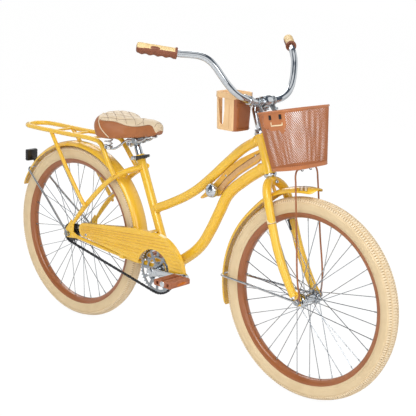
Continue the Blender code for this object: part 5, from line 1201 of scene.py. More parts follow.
def make_grips():
    """Ergonomic grips: a ribbed cream back over a brown palm with finger waves."""
    for side, end in SIDES:
        start, tip = bar_half(side)[-2:]
        axis = (tip - start).normalized()
        inner = tip - axis * (GRIP_LENGTH - 0.004)
        down = (-UP - axis * (-UP).dot(axis)).normalized()
        length = GRIP_LENGTH
        rows = 125
        profile = [(0.016, length * i / rows) for i in range(rows + 1)]
        grip = spun("grip", profile, inner, axis, 64, degrees=60.0)
        for point in grip.data.vertices:
            aside = point.co - inner
            along = aside.dot(axis)
            share = along / length
            out = (aside - axis * along).normalized()
            low = out.dot(down)
            radius = grip_radius(share, low)
            if low < 0.08:
                radius += 0.00022 * math.cos(math.tau * along / 0.0036)
            point.co = inner + axis * along + out * radius
        coated(grip, "cream_rubber", "brown_rubber")
        for face in grip.data.polygons:
            aside = face.center - inner
            along = aside.dot(axis)
            low = (aside - axis * along).normalized().dot(down)
            edge = -0.3 + 0.22 * (along / length) ** 2
            face.material_index = 1 if low > edge else 0
        cap = spun(
            "cap",
            mm(
                (0, 126.2), (6, 126), (10, 125.4), (11.8, 124.6), (12.4, 123.4), (10, 123),
                (0, 123)), inner, axis, 40)
        collar = hoop(
            "collar",
            mm(
                (11.5, 0), (16.8, 0), (18.4, 1.2), (18.7, 3.2), (18.2, 5.8), (16.6, 6.8),
                (15.8, 8), (11.5, 8)), inner, axis, 44)
        grip.name = f"grip_sleeve_{end}"
        fitted(grip, "steering", "cream_rubber", None, f"grip_{end}")
        assembled(f"grip_collar_{end}", [collar, cap], "steering", "brown_rubber", "brown_rubber")
        oval_place = inner + axis * 0.07
        out = (FORWARD - axis * FORWARD.dot(axis)).normalized()
        out = (out * 0.93 - down * 0.36).normalized()
        oval = spun(
            "oval", mm((0, 16.8), (7, 16.6), (8.5, 16), (8.8, 15), (0, 15)), Vector((0, 0, 0)),
            Vector((0, 0, 1)), 32)
        across = out.cross(axis)
        turn = Matrix((axis * 1.9, across * 0.62, out)).transposed().to_4x4()
        oval.matrix_world = Matrix.Translation(oval_place) @ turn
        settle(oval)
        clean(oval)
        oval.name = f"grip_oval_{end}"
        fitted(oval, "steering", "brown_rubber", "brown_rubber")


# Tank panel and bell

TANK_OUTLINE = mm(
    (869, 785.2), (840, 770), (793, 744), (745, 708), (709, 670), (671, 629), (625, 585),
    (623, 579), (630, 578), (660, 592), (686, 597), (706, 600), (717, 611), (735, 640), (786, 686),
    (830, 717), (864, 740), (879, 756), (880, 762), (872.5, 783.6))
SEAM = mm((876, 774.5), (830, 744), (780, 707), (735, 666), (700, 626))
BAND_LOW = mm((877.5, 759), (840, 731), (798, 703), (750, 660), (722, 622))


def make_tank():
    panel = flat_piece("tank_shell", [TANK_OUTLINE], -0.008, 0.008, 0.0025)
    fitted(panel, "frame", "yellow_paint", "tank_enamel", "tank_panel")
    for side, end in SIDES:
        near, far = side * 0.0079, side * 0.0083
        band = flat_piece(f"tank_band_{end}", [[*SEAM, *reversed(BAND_LOW)]], near, far)
        fitted(band, "frame", "yellow_paint", "tan_band")
        upper = [(f - 0.001, z + 0.0022) for f, z in SEAM]
        lower = [(f - 0.0005, z - 0.0006) for f, z in SEAM]
        line = flat_piece(f"tank_line_{end}", [[*upper, *reversed(lower)]], near, side * 0.0085)
        fitted(line, "frame", "yellow_paint", "dark_line")
        spots = (at(0.859, side * 0.008, 0.766), at(0.735, side * 0.008, 0.677))
        screws = [screw_head("screw", spot, LEFT * side, 0.0036, 0.0022) for spot in spots]
        assembled(f"tank_screws_{end}", screws, "frame", "chrome", "bright_steel")


def make_bell():
    centre = at(0.69, -0.0083, 0.62)
    dome = hoop(
        "polished_dome",
        mm(
            (23, 14), (24.3, 14), (24.7, 14.6), (24.6, 17), (24, 20.5), (22.5, 24.4), (19.8, 27.9),
            (16, 30.4), (11, 32), (6.2, 32.7), (3.8, 32.8), (3.8, 31.2), (10.5, 30.5), (15, 28.9),
            (19, 26.2), (21.6, 22.5), (22.6, 19.8), (23, 16.5)), centre, -LEFT, 56)
    fitted(dome, "bell", "chrome", "chrome", "bell_dome")
    base = spun(
        "bell_seat",
        mm(
            (0, 0.2), (10, 0.2), (10.4, 8), (19, 11.2), (20.6, 11.7), (20.6, 13.4), (19, 13.6),
            (3.3, 13.6), (3.3, 32.9), (5.6, 33), (5.8, 34.2), (4, 35.4), (0, 35.7)), centre, -LEFT,
        40)
    fitted(base, "frame", "black_plastic", "steel", "bell_base")


# Basket

BASKET_TILT = math.radians(12.0)
BASKET_RIM = (0.996, 0.935)
BASKET_FLOOR = (1.034, 0.754)


def rounded_rectangle(half_a, half_b, corner, pieces=8):
    outline = []
    for k in range(4):
        centre_a = (half_a - corner) * (1 if k in (0, 3) else -1)
        centre_b = (half_b - corner) * (1 if k in (0, 1) else -1)
        for i in range(pieces + 1):
            turn = math.radians(90 * k + 90 * i / pieces)
            outline.append((
                centre_a + corner * math.cos(turn), centre_b + corner * math.sin(turn)))
    return outline


def outline_at(outline, share):
    """The point this share of the way round a closed outline."""
    steps = [math.dist(a, b) for a, b in zip(outline, [*outline[1:], outline[0]])]
    reach = (share % 1.0) * sum(steps)
    for (a, b), step in zip(zip(outline, [*outline[1:], outline[0]]), steps):
        if reach <= step and step:
            return (a[0] + (b[0] - a[0]) * reach / step, a[1] + (b[1] - a[1]) * reach / step)
        reach -= step
    return outline[0]


def basket_middle(share):
    """The (forward, up) of the basket's middle at this share of its height."""
    return [low + (high - low) * share for low, high in zip(BASKET_FLOOR, BASKET_RIM)]


def basket_spot(share, way, inset=0.0):
    """A point of the basket's wall: share 0 at its floor and 1 at its rim, way round it 0 to 1."""
    half_ahead = 0.066 + 0.019 * share - inset
    half_left = 0.093 + 0.022 * share - inset
    corner = max(0.004, 0.05 + 0.01 * share - inset)
    ahead, left = outline_at(rounded_rectangle(half_ahead, half_left, corner), way)
    forward, up = basket_middle(share)
    return at(forward + math.cos(BASKET_TILT) * ahead, left, up + math.sin(BASKET_TILT) * ahead)


MESH_COLUMNS = 96
MESH_ROWS = 20
MESH_LOW = 0.04
MESH_HIGH = 0.972


def diamond_holes(piece, thickness):
    """Turns every square of the piece into diamonds and opens each one."""
    squares = len(piece.data.vertices)
    with editing(piece):
        bpy.ops.mesh.poke()
        bpy.ops.mesh.select_all(action="DESELECT")
        bpy.ops.mesh.select_mode(type="EDGE")
    uses = {}
    for face in piece.data.polygons:
        for key in face.edge_keys:
            uses[key] = uses.get(key, 0) + 1
    for edge in piece.data.edges:
        first, second = edge.vertices
        edge.select = first < squares and second < squares and uses[edge.key] == 2
    with editing(piece, False):
        bpy.ops.mesh.dissolve_edges(use_verts=False)
        bpy.ops.mesh.select_mode(type="FACE")
    for face in piece.data.polygons:
        face.select = len(face.vertices) == 4
    with editing(piece, False):
        bpy.ops.mesh.inset(thickness=thickness, use_individual=True)
        bpy.ops.mesh.delete(type="FACE")
    return piece


def grid_sheet(name, columns, rows, place, around_it=True):
    """A sheet of squares whose points come from place(column share, row share)."""
    bpy.ops.mesh.primitive_grid_add(x_subdivisions=columns, y_subdivisions=rows, size=1.0)
    sheet = named(name)
    for point in sheet.data.vertices:
        point.co = place(point.co.x + 0.5, point.co.y + 0.5)
    if around_it:
        clean(sheet)
    return sheet


def in_patch(centre):
    """Whether a point lies on the solid patch of the basket's right side."""
    forward = MIDDLE - centre.y
    share = (centre.z - BASKET_FLOOR[1]) / (BASKET_RIM[1] - BASKET_FLOOR[1])
    return centre.x < 0 and 0.968 < forward < 1.046 and share > 0.7


def make_basket():
    def wall(low, high, rows, inset=0.0):
        """The basket's wall between two shares of its height."""
        def spot(way, share):
            return basket_spot(low + (high - low) * share, way, inset)

        return grid_sheet("wall", MESH_COLUMNS, rows, spot)

    def floor_spot(across, along):
        ahead = (across - 0.5) * 0.128
        return at(
            BASKET_FLOOR[0] + math.cos(BASKET_TILT) * ahead, (along - 0.5) * 0.182,
            BASKET_FLOOR[1] + math.sin(BASKET_TILT) * ahead + 0.0008)

    mesh, solid = (wall(MESH_LOW, MESH_HIGH, MESH_ROWS, 0.0004) for _ in range(2))
    drop_faces(mesh, lambda face: in_patch(face.center))
    drop_faces(solid, lambda face: not in_patch(face.center))
    diamond_holes(mesh, 0.00062)
    modify(mesh, "SOLIDIFY", thickness=0.0012, offset=-1.0)
    modify(solid, "SOLIDIFY", thickness=0.0014, offset=-1.0)
    lower = wall(0.0, MESH_LOW + 0.004, 3)
    upper = wall(MESH_HIGH - 0.004, 1.0, 3)
    for band in (lower, upper):
        modify(band, "SOLIDIFY", thickness=0.0016, offset=-1.0)
    rim = tube(
        "rim", [basket_spot(0.992, k / 52, 0.0008) for k in range(52)], 0.003, closed=True,
        round_steps=4, steps=3)
    foot = tube(
        "foot", [basket_spot(0.0, k / 52, 0.002) for k in range(52)], 0.0022, closed=True,
        round_steps=3, steps=3)
    floor = grid_sheet("floor", 26, 34, floor_spot, around_it=False)
    corner = 0.048
    middle = at(BASKET_FLOOR[0], 0, BASKET_FLOOR[1])
    along_floor = FORWARD * math.cos(BASKET_TILT) + UP * math.sin(BASKET_TILT)

    def past_corner(face):
        over_a = max(0.0, abs((face.center - middle).dot(along_floor)) - (0.066 - corner))
        over_b = max(0.0, abs(face.center.x) - (0.093 - corner))
        return math.hypot(over_a, over_b) > corner - 0.002

    drop_faces(floor, past_corner)
    diamond_holes(floor, 0.0007)
    modify(floor, "SOLIDIFY", thickness=0.0012, offset=-1.0)
    basket = joined("basket_shell", [mesh, lower, upper, rim, foot, floor, solid])
    smooth(basket, 30.0)
    fitted(basket, "steering", "brown_paint", "basket_enamel", "basket")


def make_basket_trims():
    """Two dark slotted clips over a notched slot on the patch, and clips under the floor."""
    pieces = []
    tilt = Matrix.Rotation(-BASKET_TILT, 4, "X")
    for forward in (0.9927, 1.0315):
        spot = basket_on_right(forward, 0.905)
        pieces.append(box("clip", spot, (0.0036, 0.0085, 0.015), tilt, 0.0012))
        for k in (-1, 1):
            pieces.append(box(
                "bar", spot + LEFT * -0.0022 + UP * 0.003 * k, (0.0014, 0.007, 0.0012), tilt,
                0.0004))
    spot = basket_on_right(1.018, 0.765)
    slot = [box("slot", spot, (0.0022, 0.044, 0.0042), tilt, 0.001)]
    for k in (-1, 1):
        slot.append(box(
            "notch", spot + FORWARD * 0.0215 * k + UP * (0.0055 + 0.0028 * k),
            (0.0022, 0.003, 0.0085), tilt, 0.0008))
    for left in (-0.022, 0.022):
        pieces.append(box(
            "floor_clip", at(1.061, left, 0.7575), (0.012, 0.013, 0.0058), bevel=0.0015))
        pieces.append(tube(
            "hook",
            [at(1.061, left, 0.756), at(1.057, left, 0.751), at(1.061, left, 0.7488),
             at(1.0655, left, 0.751)], 0.0016, round_steps=2, steps=4))
    assembled("basket_clips", pieces, "steering", "black_plastic", "black_plastic")
    assembled("basket_slot", slot, "steering", "cream_rubber", "cream_band")


def basket_on_right(forward, share):
    """The point of the basket's right side this far forward at this share of its height."""
    middle, up = basket_middle(share)
    up += math.tan(BASKET_TILT) * (forward - middle)
    return at(forward, -0.0936 - 0.022 * share, up)


CLAMP_RING = mm((11.3, -6), (14.2, -6), (15, -5), (15, 5), (14.2, 6), (11.3, 6))


def make_basket_mounts():
    plate = flat_piece(
        "plate", [mm((917.7, 900), (929.9, 862), (927.1, 861.1), (914.9, 899.1))], -0.042, 0.042,
        0.0005)
    pieces = [plate]
    for side in (-1, 1):
        pieces.append(flat_piece(
            "arm",
            [mm(
                (876, 933), (892, 933), (911, 901), (917, 898.5), (918.2, 893), (907, 892),
                (874, 926))], side * 0.0305, side * 0.0385, 0.0012))
        pieces.append(hoop("boss", CLAMP_RING, BAR_CENTRE + LEFT * side * 0.035, LEFT, 32))
        pieces.append(hexagon(
            "bolt", BAR_CENTRE + LEFT * side * 0.0385 + FORWARD * 0.016 - UP * 0.024, LEFT * side,
            0.005, 0.0035))
    assembled("basket_hanger", pieces, "steering", "zinc_steel", "steel", "basket_bracket")
    left = 0.0586
    half = [at(1.1062, left, 0.348), at(1.1066, left + 0.0015, 0.362), at(1.1035, 0.0655, 0.39),
            at(1.085, 0.062, 0.54), at(1.0655, 0.058, 0.715), at(1.062, 0.056, 0.742),
            at(1.061, 0.048, 0.754), at(1.061, 0.036, 0.7558), at(1.061, 0.0, 0.7558)]
    wire = tube(
        "wire", [*half, *[mirrored(p) for p in reversed(half[:-1])]], 0.0029, round_steps=4,
        steps=6)
    ends = []
    for side in (-1, 1):
        ends.append(flat_piece(
            "lug", [mm((1094, 333), (1103, 353), (1109.5, 353), (1108, 333))], side * 0.0576,
            side * 0.0596, 0.0004))
        ends.append(hoop(
            "eye", mm((5.2, 57.6), (9, 57.6), (9, 59.6), (5.2, 59.6)), FRONT_AXLE, LEFT * side,
            28))
    assembled(
        "basket_stay", [wire, *ends], "steering", "brown_paint", "brown_enamel",
        "basket_support_rod")


# Cup holder

CUP_CENTRE = (0.805, -0.065)
CUP_HIGH = 0.98
CUP_PROFILE = mm(
    (850, -7.5), (850.3, -5.8), (853, -4.2), (953, -0.4), (954.2, 1.4), (955, 2), (971.5, 2),
    (972.5, 1.2), (972.7, 0), (972.3, -1.8), (971, -2.6), (856, -6.6), (853.8, -7.8), (853.2, -10))


def cup_spot(way, share):
    """A point of the cup's wall, from under its foot over the rim and down to its floor inside."""
    up, more = CUP_PROFILE[round(share * (len(CUP_PROFILE) - 1))]
    ahead, left = outline_at(rounded_rectangle(0.047 + more, 0.044 + more, 0.02 + more), way)
    return at(CUP_CENTRE[0] + ahead, CUP_CENTRE[1] + left, up)


def make_cup_holder():
    cup = close_ends(grid_sheet("cup", 120, len(CUP_PROFILE) - 1, cup_spot))
    tall = [*arc((0.7895, 0.8755), 0.0075, 200, 340, 8), *arc((0.8, 0.95), 0.005, 0, 90, 4),
            *arc((0.779, 0.95), 0.005, 90, 180, 4)]
    groove = [*arc((0.817, 0.937), 0.0075, 0, 180, 8), (0.8095, 0.856), (0.8245, 0.856)]
    slit = [*arc((0.8215, 0.935), 0.001, 0, 180, 4), (0.8205, 0.858), (0.8225, 0.858)]
    cut_away(
        cup, flat_piece("slot", [tall], -0.15, -0.095),
        flat_piece("groove", [groove], -0.15, -0.1088), flat_piece("slit", [slit], -0.15, -0.095),
        box("back_slot", at(0.76, -0.066, 0.906), (0.013, 0.03, 0.09)))
    smooth(cup)
    cup = named("cup_shell")
    coated(cup, "cup_cream", "cup_brown")
    # Painted light and shade: the right side, the rim and the inside take the pale cream as if
    # lit, and the front and the far side keep the cup's brown as its shaded side.
    for face in cup.data.polygons:
        forward = MIDDLE - face.center.y
        left = face.center.x - CUP_CENTRE[1]
        on_front = forward > CUP_CENTRE[0] + 0.03 and left > -0.04
        inside = face.normal.dot(Vector((left, CUP_CENTRE[0] - forward, 0))) < -0.005
        brown = (on_front and face.center.z < CUP_HIGH - 0.0185) or left > 0.03
        face.material_index = 1 if brown and not inside else 0
    fitted(cup, "steering", "brown_paint", None, "cup_holder")
    front = [box("band", at(0.8525, -0.067, 0.936), (0.07, 0.003, 0.013), bevel=0.001),
             box("foot_line", at(0.8498, -0.067, 0.857), (0.064, 0.003, 0.0022), bevel=0.0006)]
    assembled("cup_trim", front, "steering", "brown_paint", "cup_brown")
    make_cup_clamp()


def make_cup_clamp():
    start, end = bar_half(-1)[1:3]
    axis = (end - start).normalized()
    centre = start.lerp(end, 0.5)
    ring = hoop("ring", CLAMP_RING, centre, axis, 36)
    front = CUP_CENTRE[0] + 0.049
    arm = box(
        "arm", Vector((centre.x, MIDDLE - (front + 0.0092), 0.962)), (0.019, 0.018, 0.019),
        bevel=0.0022)
    bolt = hexagon(
        "bolt", centre + axis * 0.001 - UP * 0.0145 - axis * 0.0075, -axis, 0.005, 0.004)
    assembled(
        "cup_clamp", [ring, arm, bolt], "steering", "zinc_steel", "bright_steel",
        "cup_holder_bracket")


# Seat

SADDLE_STATIONS = mm(
    (420, 9, 798, 779), (415, 18.5, 806, 771), (400, 26, 813.5, 764), (370, 30, 817.5, 757),
    (335, 37, 814, 750), (295, 55, 811, 744), (260, 78.5, 813, 739), (226, 100, 819, 737),
    (198, 106.5, 821.5, 738), (176, 98.5, 822.5, 743), (162, 79, 819, 750), (155, 48, 812, 760))
SADDLE_SECTION = (
    (0.0, 1.0), (0.42, 0.97), (0.78, 0.86), (0.96, 0.65), (1.0, 0.4), (0.93, 0.08), (0.84, 0.0),
    (0.42, 0.1), (0.0, 0.14), (-0.42, 0.1), (-0.84, 0.0), (-0.93, 0.08), (-1.0, 0.4),
    (-0.96, 0.65), (-0.78, 0.86), (-0.42, 0.97))
SKIRT_TOP = mm(
    (140, 817), (160, 817.5), (174, 815.5), (184, 809.5), (193, 804.5), (205, 802.5),
    (216.3, 801.8), (232.5, 801.5), (250.9, 800.5), (267.9, 796), (289.4, 790), (316.4, 788.5),
    (345.5, 793.2), (383, 801.8), (399, 797.4), (406.4, 785.5), (412, 774), (430, 760))
QUILT_ANGLE = math.radians(33.0)
QUILT_FIRST = 0.0604
QUILT_STEP = 0.0295
QUILT_LINES = range(-2, 8)


def smooth_at(rows, share, closed=False):
    """A smooth curve through rows of numbers, read at a share of its length."""
    count = len(rows) if closed else len(rows) - 1
    place = share * count
    start = min(int(place), count - 1)
    part = place - start

    def row(index):
        return rows[index % len(rows)] if closed else rows[min(max(index, 0), len(rows) - 1)]

    def blend(a, b, c, d):
        return 0.5 * (2 * b + (c - a) * part + (2 * a - 5 * b + 4 * c - d) * part**2
                      + (3 * b - a - 3 * c + d) * part**3)

    return [blend(*four) for four in zip(*(row(start + k) for k in (-1, 0, 1, 2)))]


def level_at(line, forward):
    """The height of a smooth line through (forward, up) points at this place."""
    last = len(line) - 1
    for index in range(last):
        if forward <= line[index + 1][0]:
            (f0, _), (f1, _) = line[index], line[index + 1]
            share = held((forward - f0) / (f1 - f0))
            return smooth_at(line, (index + share) / last)[1]
    return line[-1][1]


def saddle_spot(way, along):
    forward, half, top, bottom = smooth_at(SADDLE_STATIONS, along)
    left, height = smooth_at(SADDLE_SECTION, way, closed=True)
    return at(forward, left * half, bottom + (top - bottom) * height)


def padded_form(piece, voxel, pressure, most, held_below):
    """Swells a closed shape as stuffed cloth; points under a height hold still."""
    modify(piece, "REMESH", mode="VOXEL", voxel_size=voxel)
    pick(piece)
    before = [point.co.copy() for point in piece.data.vertices]
    pan = piece.vertex_groups.new(name="pan")
    pan.add([p.index for p in piece.data.vertices if held_below(p.co)], 1.0, "REPLACE")
    cloth = piece.modifiers.new("Stuffing", "CLOTH")
    cloth.settings.use_pressure = True
    cloth.settings.uniform_pressure_force = pressure
    cloth.settings.vertex_group_mass = "pan"
    cloth.settings.effector_weights.gravity = 0.0
    for step in range(1, 21):
        bpy.context.scene.frame_set(step)
    bpy.ops.object.modifier_apply(modifier=cloth.name)
    bpy.context.scene.frame_set(1)
    piece.vertex_groups.clear()
    for point, start in zip(piece.data.vertices, before):
        move = point.co - start
        if move.length > most:
            point.co = start + move * (most / move.length)
    modify(piece, "SMOOTH", factor=0.5, iterations=4)
    modify(piece, "SUBSURF", levels=1, render_levels=1)
    return piece


def quilt_gap(forward, left):
    """How far a point of the seat top is from the nearest quilting line."""
    nearest = 1.0
    for sign in (-1, 1):
        reach = forward * math.sin(QUILT_ANGLE) + sign * left * math.cos(QUILT_ANGLE)
        step = (reach - QUILT_FIRST) / QUILT_STEP
        nearest = min(nearest, abs(step - round(step)) * QUILT_STEP)
    return nearest


def nose_seam(left):
    """How far forward the quilted panel reaches at this distance from the middle."""
    return 0.335 + 0.028 * min(1.0, (left / 0.03) ** 2)


def is_quilted(place):
    forward = MIDDLE - place.y
    return 0.166 < forward < nose_seam(place.x) and place.z > level_at(SKIRT_TOP, forward) + 0.002


def press(depth, width, gap):
    return -depth * math.exp(-((gap / width) ** 2))


def shape_saddle(saddle):
    """Sews the quilting, the panel seams and the skirt line into the stuffed form."""
    skirt = saddle.data.attributes.new("skirt", "FLOAT", "POINT")
    moves = []
    for point in saddle.data.vertices:
        forward = MIDDLE - point.co.y
        above = point.co.z - level_at(SKIRT_TOP, forward)
        facing_up = point.normal.z > -0.2
        skirt.data[point.index].value = max(-1.0, min(1.0, above / 0.004)) if facing_up else -1.0
        push = press(0.0012, 0.0024, above) if facing_up else 0.0
        if is_quilted(point.co) and point.normal.z > 0.15:
            gap = quilt_gap(forward, point.co.x)
            push += press(0.0022, 0.003, gap) + 0.001
        if above > 0:
            push += press(0.0016, 0.0026, forward - nose_seam(point.co.x))
            push += press(0.0012, 0.0024, forward - 0.406)
        moves.append(point.normal * push)
    for point, move in zip(saddle.data.vertices, moves):
        point.co += move
    saddle.data.update()


def above_saddle(saddle, forward, left, lift=0.0002):
    """The point of the saddle's top over this place, or None beside it."""
    hit, place, normal, _ = saddle.ray_cast(at(forward, left, 0.95), -UP)
    return place + normal * lift if hit else None


def beside_saddle(saddle, forward, up, side, lift=0.0002):
    hit, place, normal, _ = saddle.ray_cast(at(forward, side * 0.2, up), -LEFT * side)
    return place + normal * lift if hit else None


def sewn(pieces, points, radius):
    """Adds a thread or welt along the points that were found."""
    found = [point for point in points if point is not None]
    if len(found) > 3:
        pieces.append(tube("thread", found, radius, round_steps=1, steps=1))


def make_saddle():
    saddle = close_ends(grid_sheet("saddle_cover", 48, 44, saddle_spot))
    padded_form(saddle, 0.0042, 4.0, 0.003, lambda co: co.z < 0.748)
    shape_saddle(saddle)
    smooth(saddle, 180.0)
    fitted(saddle, "seat", "saddle_cover", "saddle_cover", "saddle")
    threads = []
    lean = (math.cos(QUILT_ANGLE), math.sin(QUILT_ANGLE))
    for sign in (-1, 1):
        for k in QUILT_LINES:
            foot = QUILT_FIRST + QUILT_STEP * k
            line = []
            for i in range(-40, 90):
                reach = 0.004 * i
                forward = foot * lean[1] + reach * lean[0]
                left = sign * (foot * lean[0] - reach * lean[1])
                spot = above_saddle(saddle, forward, left)
                if spot is not None and is_quilted(spot):
                    line.append(spot)
            sewn(threads, line, 0.00055)
    sewn(
        threads,
        [above_saddle(saddle, nose_seam(l), l) for l in (0.001 * i for i in range(-31, 32, 2))],
        0.0006)
    sewn(threads, [above_saddle(saddle, 0.406, 0.001 * i) for i in range(-20, 21, 2)], 0.0006)
    welts = []
    for side in (-1, 1):
        sewn(
            threads,
            [beside_saddle(saddle, f, level_at(SKIRT_TOP, f), side)
             for f in (0.198 + 0.004 * i for i in range(53))], 0.0006)
        seam = mm(
            (168, 819), (176, 815), (184, 810), (193, 804), (204, 793), (215, 778), (227, 762),
            (242, 744))
        sewn(
            welts,
            [beside_saddle(saddle, f, level_at(seam, f), side, 0.0004)
             for f in (0.169 + 0.0015 * i for i in range(49))], 0.0019)
    assembled("saddle_stitching", threads, "seat", "saddle_cover", "thread")
    assembled("saddle_piping", welts, "seat", "saddle_cover", "cream_vinyl")


RAIL_PLACES = mm(
    (206, 55, 695.3), (226, 43, 696), (241, 33.5, 706), (258, 23.5, 723), (276, 20, 732.5),
    (330, 20, 735), (350, 19.5, 742), (366, 18, 753.5), (384, 12, 757), (392, 0, 757.5))
SPRING_SPOT = (0.208, 0.055)
SPRING_LOW = 0.7005
SPRING_HIGH = 0.7385


def make_springs():
    half = [at(*place) for place in RAIL_PLACES]
    rails = [tube("rails", [*half, *[mirrored(p) for p in reversed(half[:-1])]], 0.0041)]
    for side, end in SIDES:
        foot = at(SPRING_SPOT[0], side * SPRING_SPOT[1], 0)
        rails.append(spun(
            "foot",
            mm((0, 694.5), (13.5, 694.5), (15, 695.5), (15, 699.5), (14.5, 700.2), (0, 700.2)),
            foot, UP, 28))
        rails.append(hexagon("nut", foot + UP * 0.6948, -UP, 0.0062, 0.0028))
        turns = 3.5
        count = 42
        low = SPRING_LOW + 0.003
        high = SPRING_HIGH - 0.003
        coil = []
        for i in range(count + 1):
            turn = math.tau * turns * i / count
            share = held((i - 6) / (count - 12))
            coil.append(
                foot + LEFT * side * 0.0135 * math.cos(turn) + FORWARD * 0.0135 * math.sin(turn)
                + UP * (low + (high - low) * share))
        parts = [tube("coil", coil, 0.0026, round_steps=3, steps=3)]
        for start, stop in ((SPRING_LOW, SPRING_LOW + 0.002), (SPRING_HIGH - 0.002, SPRING_HIGH)):
            parts.append(spun(
                "disc",
                [*raised(start, (0, 0), (15.8, 0), (16.5, 0.5)),
                 *raised(stop, (16.5, -0.5), (15.8, 0), (0, 0))], foot, UP, 32))
        assembled(f"spring_{end}", parts, "seat", "chrome", "chrome", f"saddle_spring_{end}")
    assembled("seat_rails", rails, "seat", "dark_steel", "bright_steel", "saddle_rails")


def make_seatpost():
    clamp_up = 0.734
    centre = on_seat_tube(clamp_up)
    parts = [box("body", centre + FORWARD * 0.008, (0.033, 0.03, 0.02), bevel=0.003)]
    for side in (-1, 1):
        ahead = centre + FORWARD * 0.016
        parts.append(spun(
            "cheek", mm((0, 16.5), (11.2, 16.5), (12.5, 18), (12.5, 26.2), (10.5, 28), (0, 28)),
            ahead, LEFT * side, 28))
        parts.append(hexagon(
            "nut", centre + FORWARD * 0.022 + LEFT * side * 0.0278, LEFT * side, 0.0068, 0.0055))
    parts.append(hoop(
        "sleeve", mm((11.2, -20), (14.2, -20), (14.2, 4), (11.2, 4)), centre, SEAT_UP, 32))
    assembled("seat_clamp", parts, "seat", "dark_steel", "steel", "saddle_clamp")
    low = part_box("seatpost")[0].z + 0.006
    foot = on_seat_tube(low)
    wide = (0.706 - low) / SEAT_UP.z
    tall = (0.742 - low) / SEAT_UP.z
    post = spun(
        "seat_pillar",
        [*mm((0, 0), (12.4, 0), (13.2, 0.8)), *raised(wide, (13.2, -2), (12.8, 2), (11, 8.5)),
         *raised(tall, (11, -1), (10.2, 0), (0, 0))], foot, SEAT_UP, 40)
    fitted(post, "seat", "chrome", "chrome", "seatpost")
    lip_low = (0.6622 - low) / SEAT_UP.z
    lip_high = (SEAT_TUBE_TOP - low) / SEAT_UP.z
    lip = hoop(
        "tube_lip",
        [*raised(lip_low, (13.7, 0), (16.2, 0), (17.2, 0.6)),
         *raised(lip_high, (17.2, -1), (16.4, 0), (13.7, 0))], foot, SEAT_UP, 48)
    fitted(lip, *FRAME_PAINT)
    ring_low = (0.666 - low) / SEAT_UP.z
    ring_high = ring_low + 0.0105
    collar = [hoop(
        "ring",
        [*raised(ring_low, (17, 0), (19.2, 0), (19.8, 0.8)),
         *raised(ring_high, (19.8, -0.8), (19.2, 0), (17, 0))], foot, SEAT_UP, 48)]
    middle = foot + SEAT_UP * ((ring_low + ring_high) / 2)
    ahead = -SEAT_BACK
    turn = Matrix.Rotation(SEAT_LEAN, 4, "X")
    for side in (-1, 1):
        collar.append(box(
            "ear", middle + ahead * 0.0225 + LEFT * side * 0.0068, (0.005, 0.013, 0.0102), turn,
            0.0014))
    collar.append(spun(
        "bolt", mm((0, -20), (3, -20), (3, 56), (0, 56)), middle + ahead * 0.0235, -LEFT, 16))
    collar.append(box(
        "band", middle + ahead * 0.0262 - LEFT * 0.024, (0.07, 0.0052, 0.013), turn, 0.0016))
    fitted(
        joined(
            "collar_lever_head",
            [spun(
                "head", mm((0, 54), (7, 54), (8, 55), (8, 64), (6.4, 66.8), (0, 67.4)),
                middle + ahead * 0.025, -LEFT, 28),
             hexagon("nut", middle + ahead * 0.0245 + LEFT * 0.0155, LEFT, 0.006, 0.005)]),
        "frame", "chrome", "bright_steel")
    assembled("post_collar", collar, "frame", "chrome", "dark_steel", "seat_collar")


# Drive

PITCH = 0.0127
LINKS = 104
RING_TEETH = 42
COG_TEETH = 18
RING_RADIUS = RING_TEETH * PITCH / math.tau
COG_RADIUS = COG_TEETH * PITCH / math.tau
RING_SPOT = (CRANK_FORWARD, CRANK_HEIGHT)
COG_SPOT = (0.0, WHEEL_RADIUS)
CHAIN_LEFT = -0.045


def chain_spot(length):
    """The point of the taut chain's middle line at this length along it."""
    apart = math.dist(RING_SPOT, COG_SPOT)
    slope = math.atan2(CRANK_HEIGHT - WHEEL_RADIUS, CRANK_FORWARD)
    lean = math.asin((RING_RADIUS - COG_RADIUS) / apart)
    straight = math.sqrt(apart**2 - (RING_RADIUS - COG_RADIUS) ** 2)
    upper = slope + math.pi / 2 + lean
    lower = slope - math.pi / 2 - lean
    ring_wrap = (upper - lower) * RING_RADIUS
    cog_wrap = (math.tau - (upper - lower)) * COG_RADIUS
    length = length % (2 * straight + ring_wrap + cog_wrap)
    if length < ring_wrap:
        return polar(RING_SPOT, RING_RADIUS, lower + length / RING_RADIUS)
    length -= ring_wrap
    if length < straight:
        return polar(polar(RING_SPOT, RING_RADIUS, upper), length, upper + math.pi / 2)
    length -= straight
    if length < cog_wrap:
        return polar(COG_SPOT, COG_RADIUS, upper + length / COG_RADIUS)
    return polar(polar(COG_SPOT, COG_RADIUS, lower), length - cog_wrap, lower + math.pi / 2)


def link_outline():
    half = PITCH / 2
    return [*arc((half, 0), 0.0042, -65, 65, 5), (0.0, 0.003),
            *arc((-half, 0), 0.0042, 115, 245, 5), (0.0, -0.003)]


def make_link(name, plate_near, plate_far, pin_radius, pin_half):
    """A link of two side plates and its two pins or rollers, at the origin of the side plane."""
    parts = [flat_piece("plate", [link_outline()], side * plate_near, side * plate_far)
             for side in (-1, 1)]
    for end in (-1, 1):
        parts.append(spun(
            "pin",
            [(0, -pin_half), (pin_radius, -pin_half), (pin_radius, pin_half), (0, pin_half)],
            at(end * PITCH / 2, 0, 0), LEFT, 10))
    return joined(name, parts)


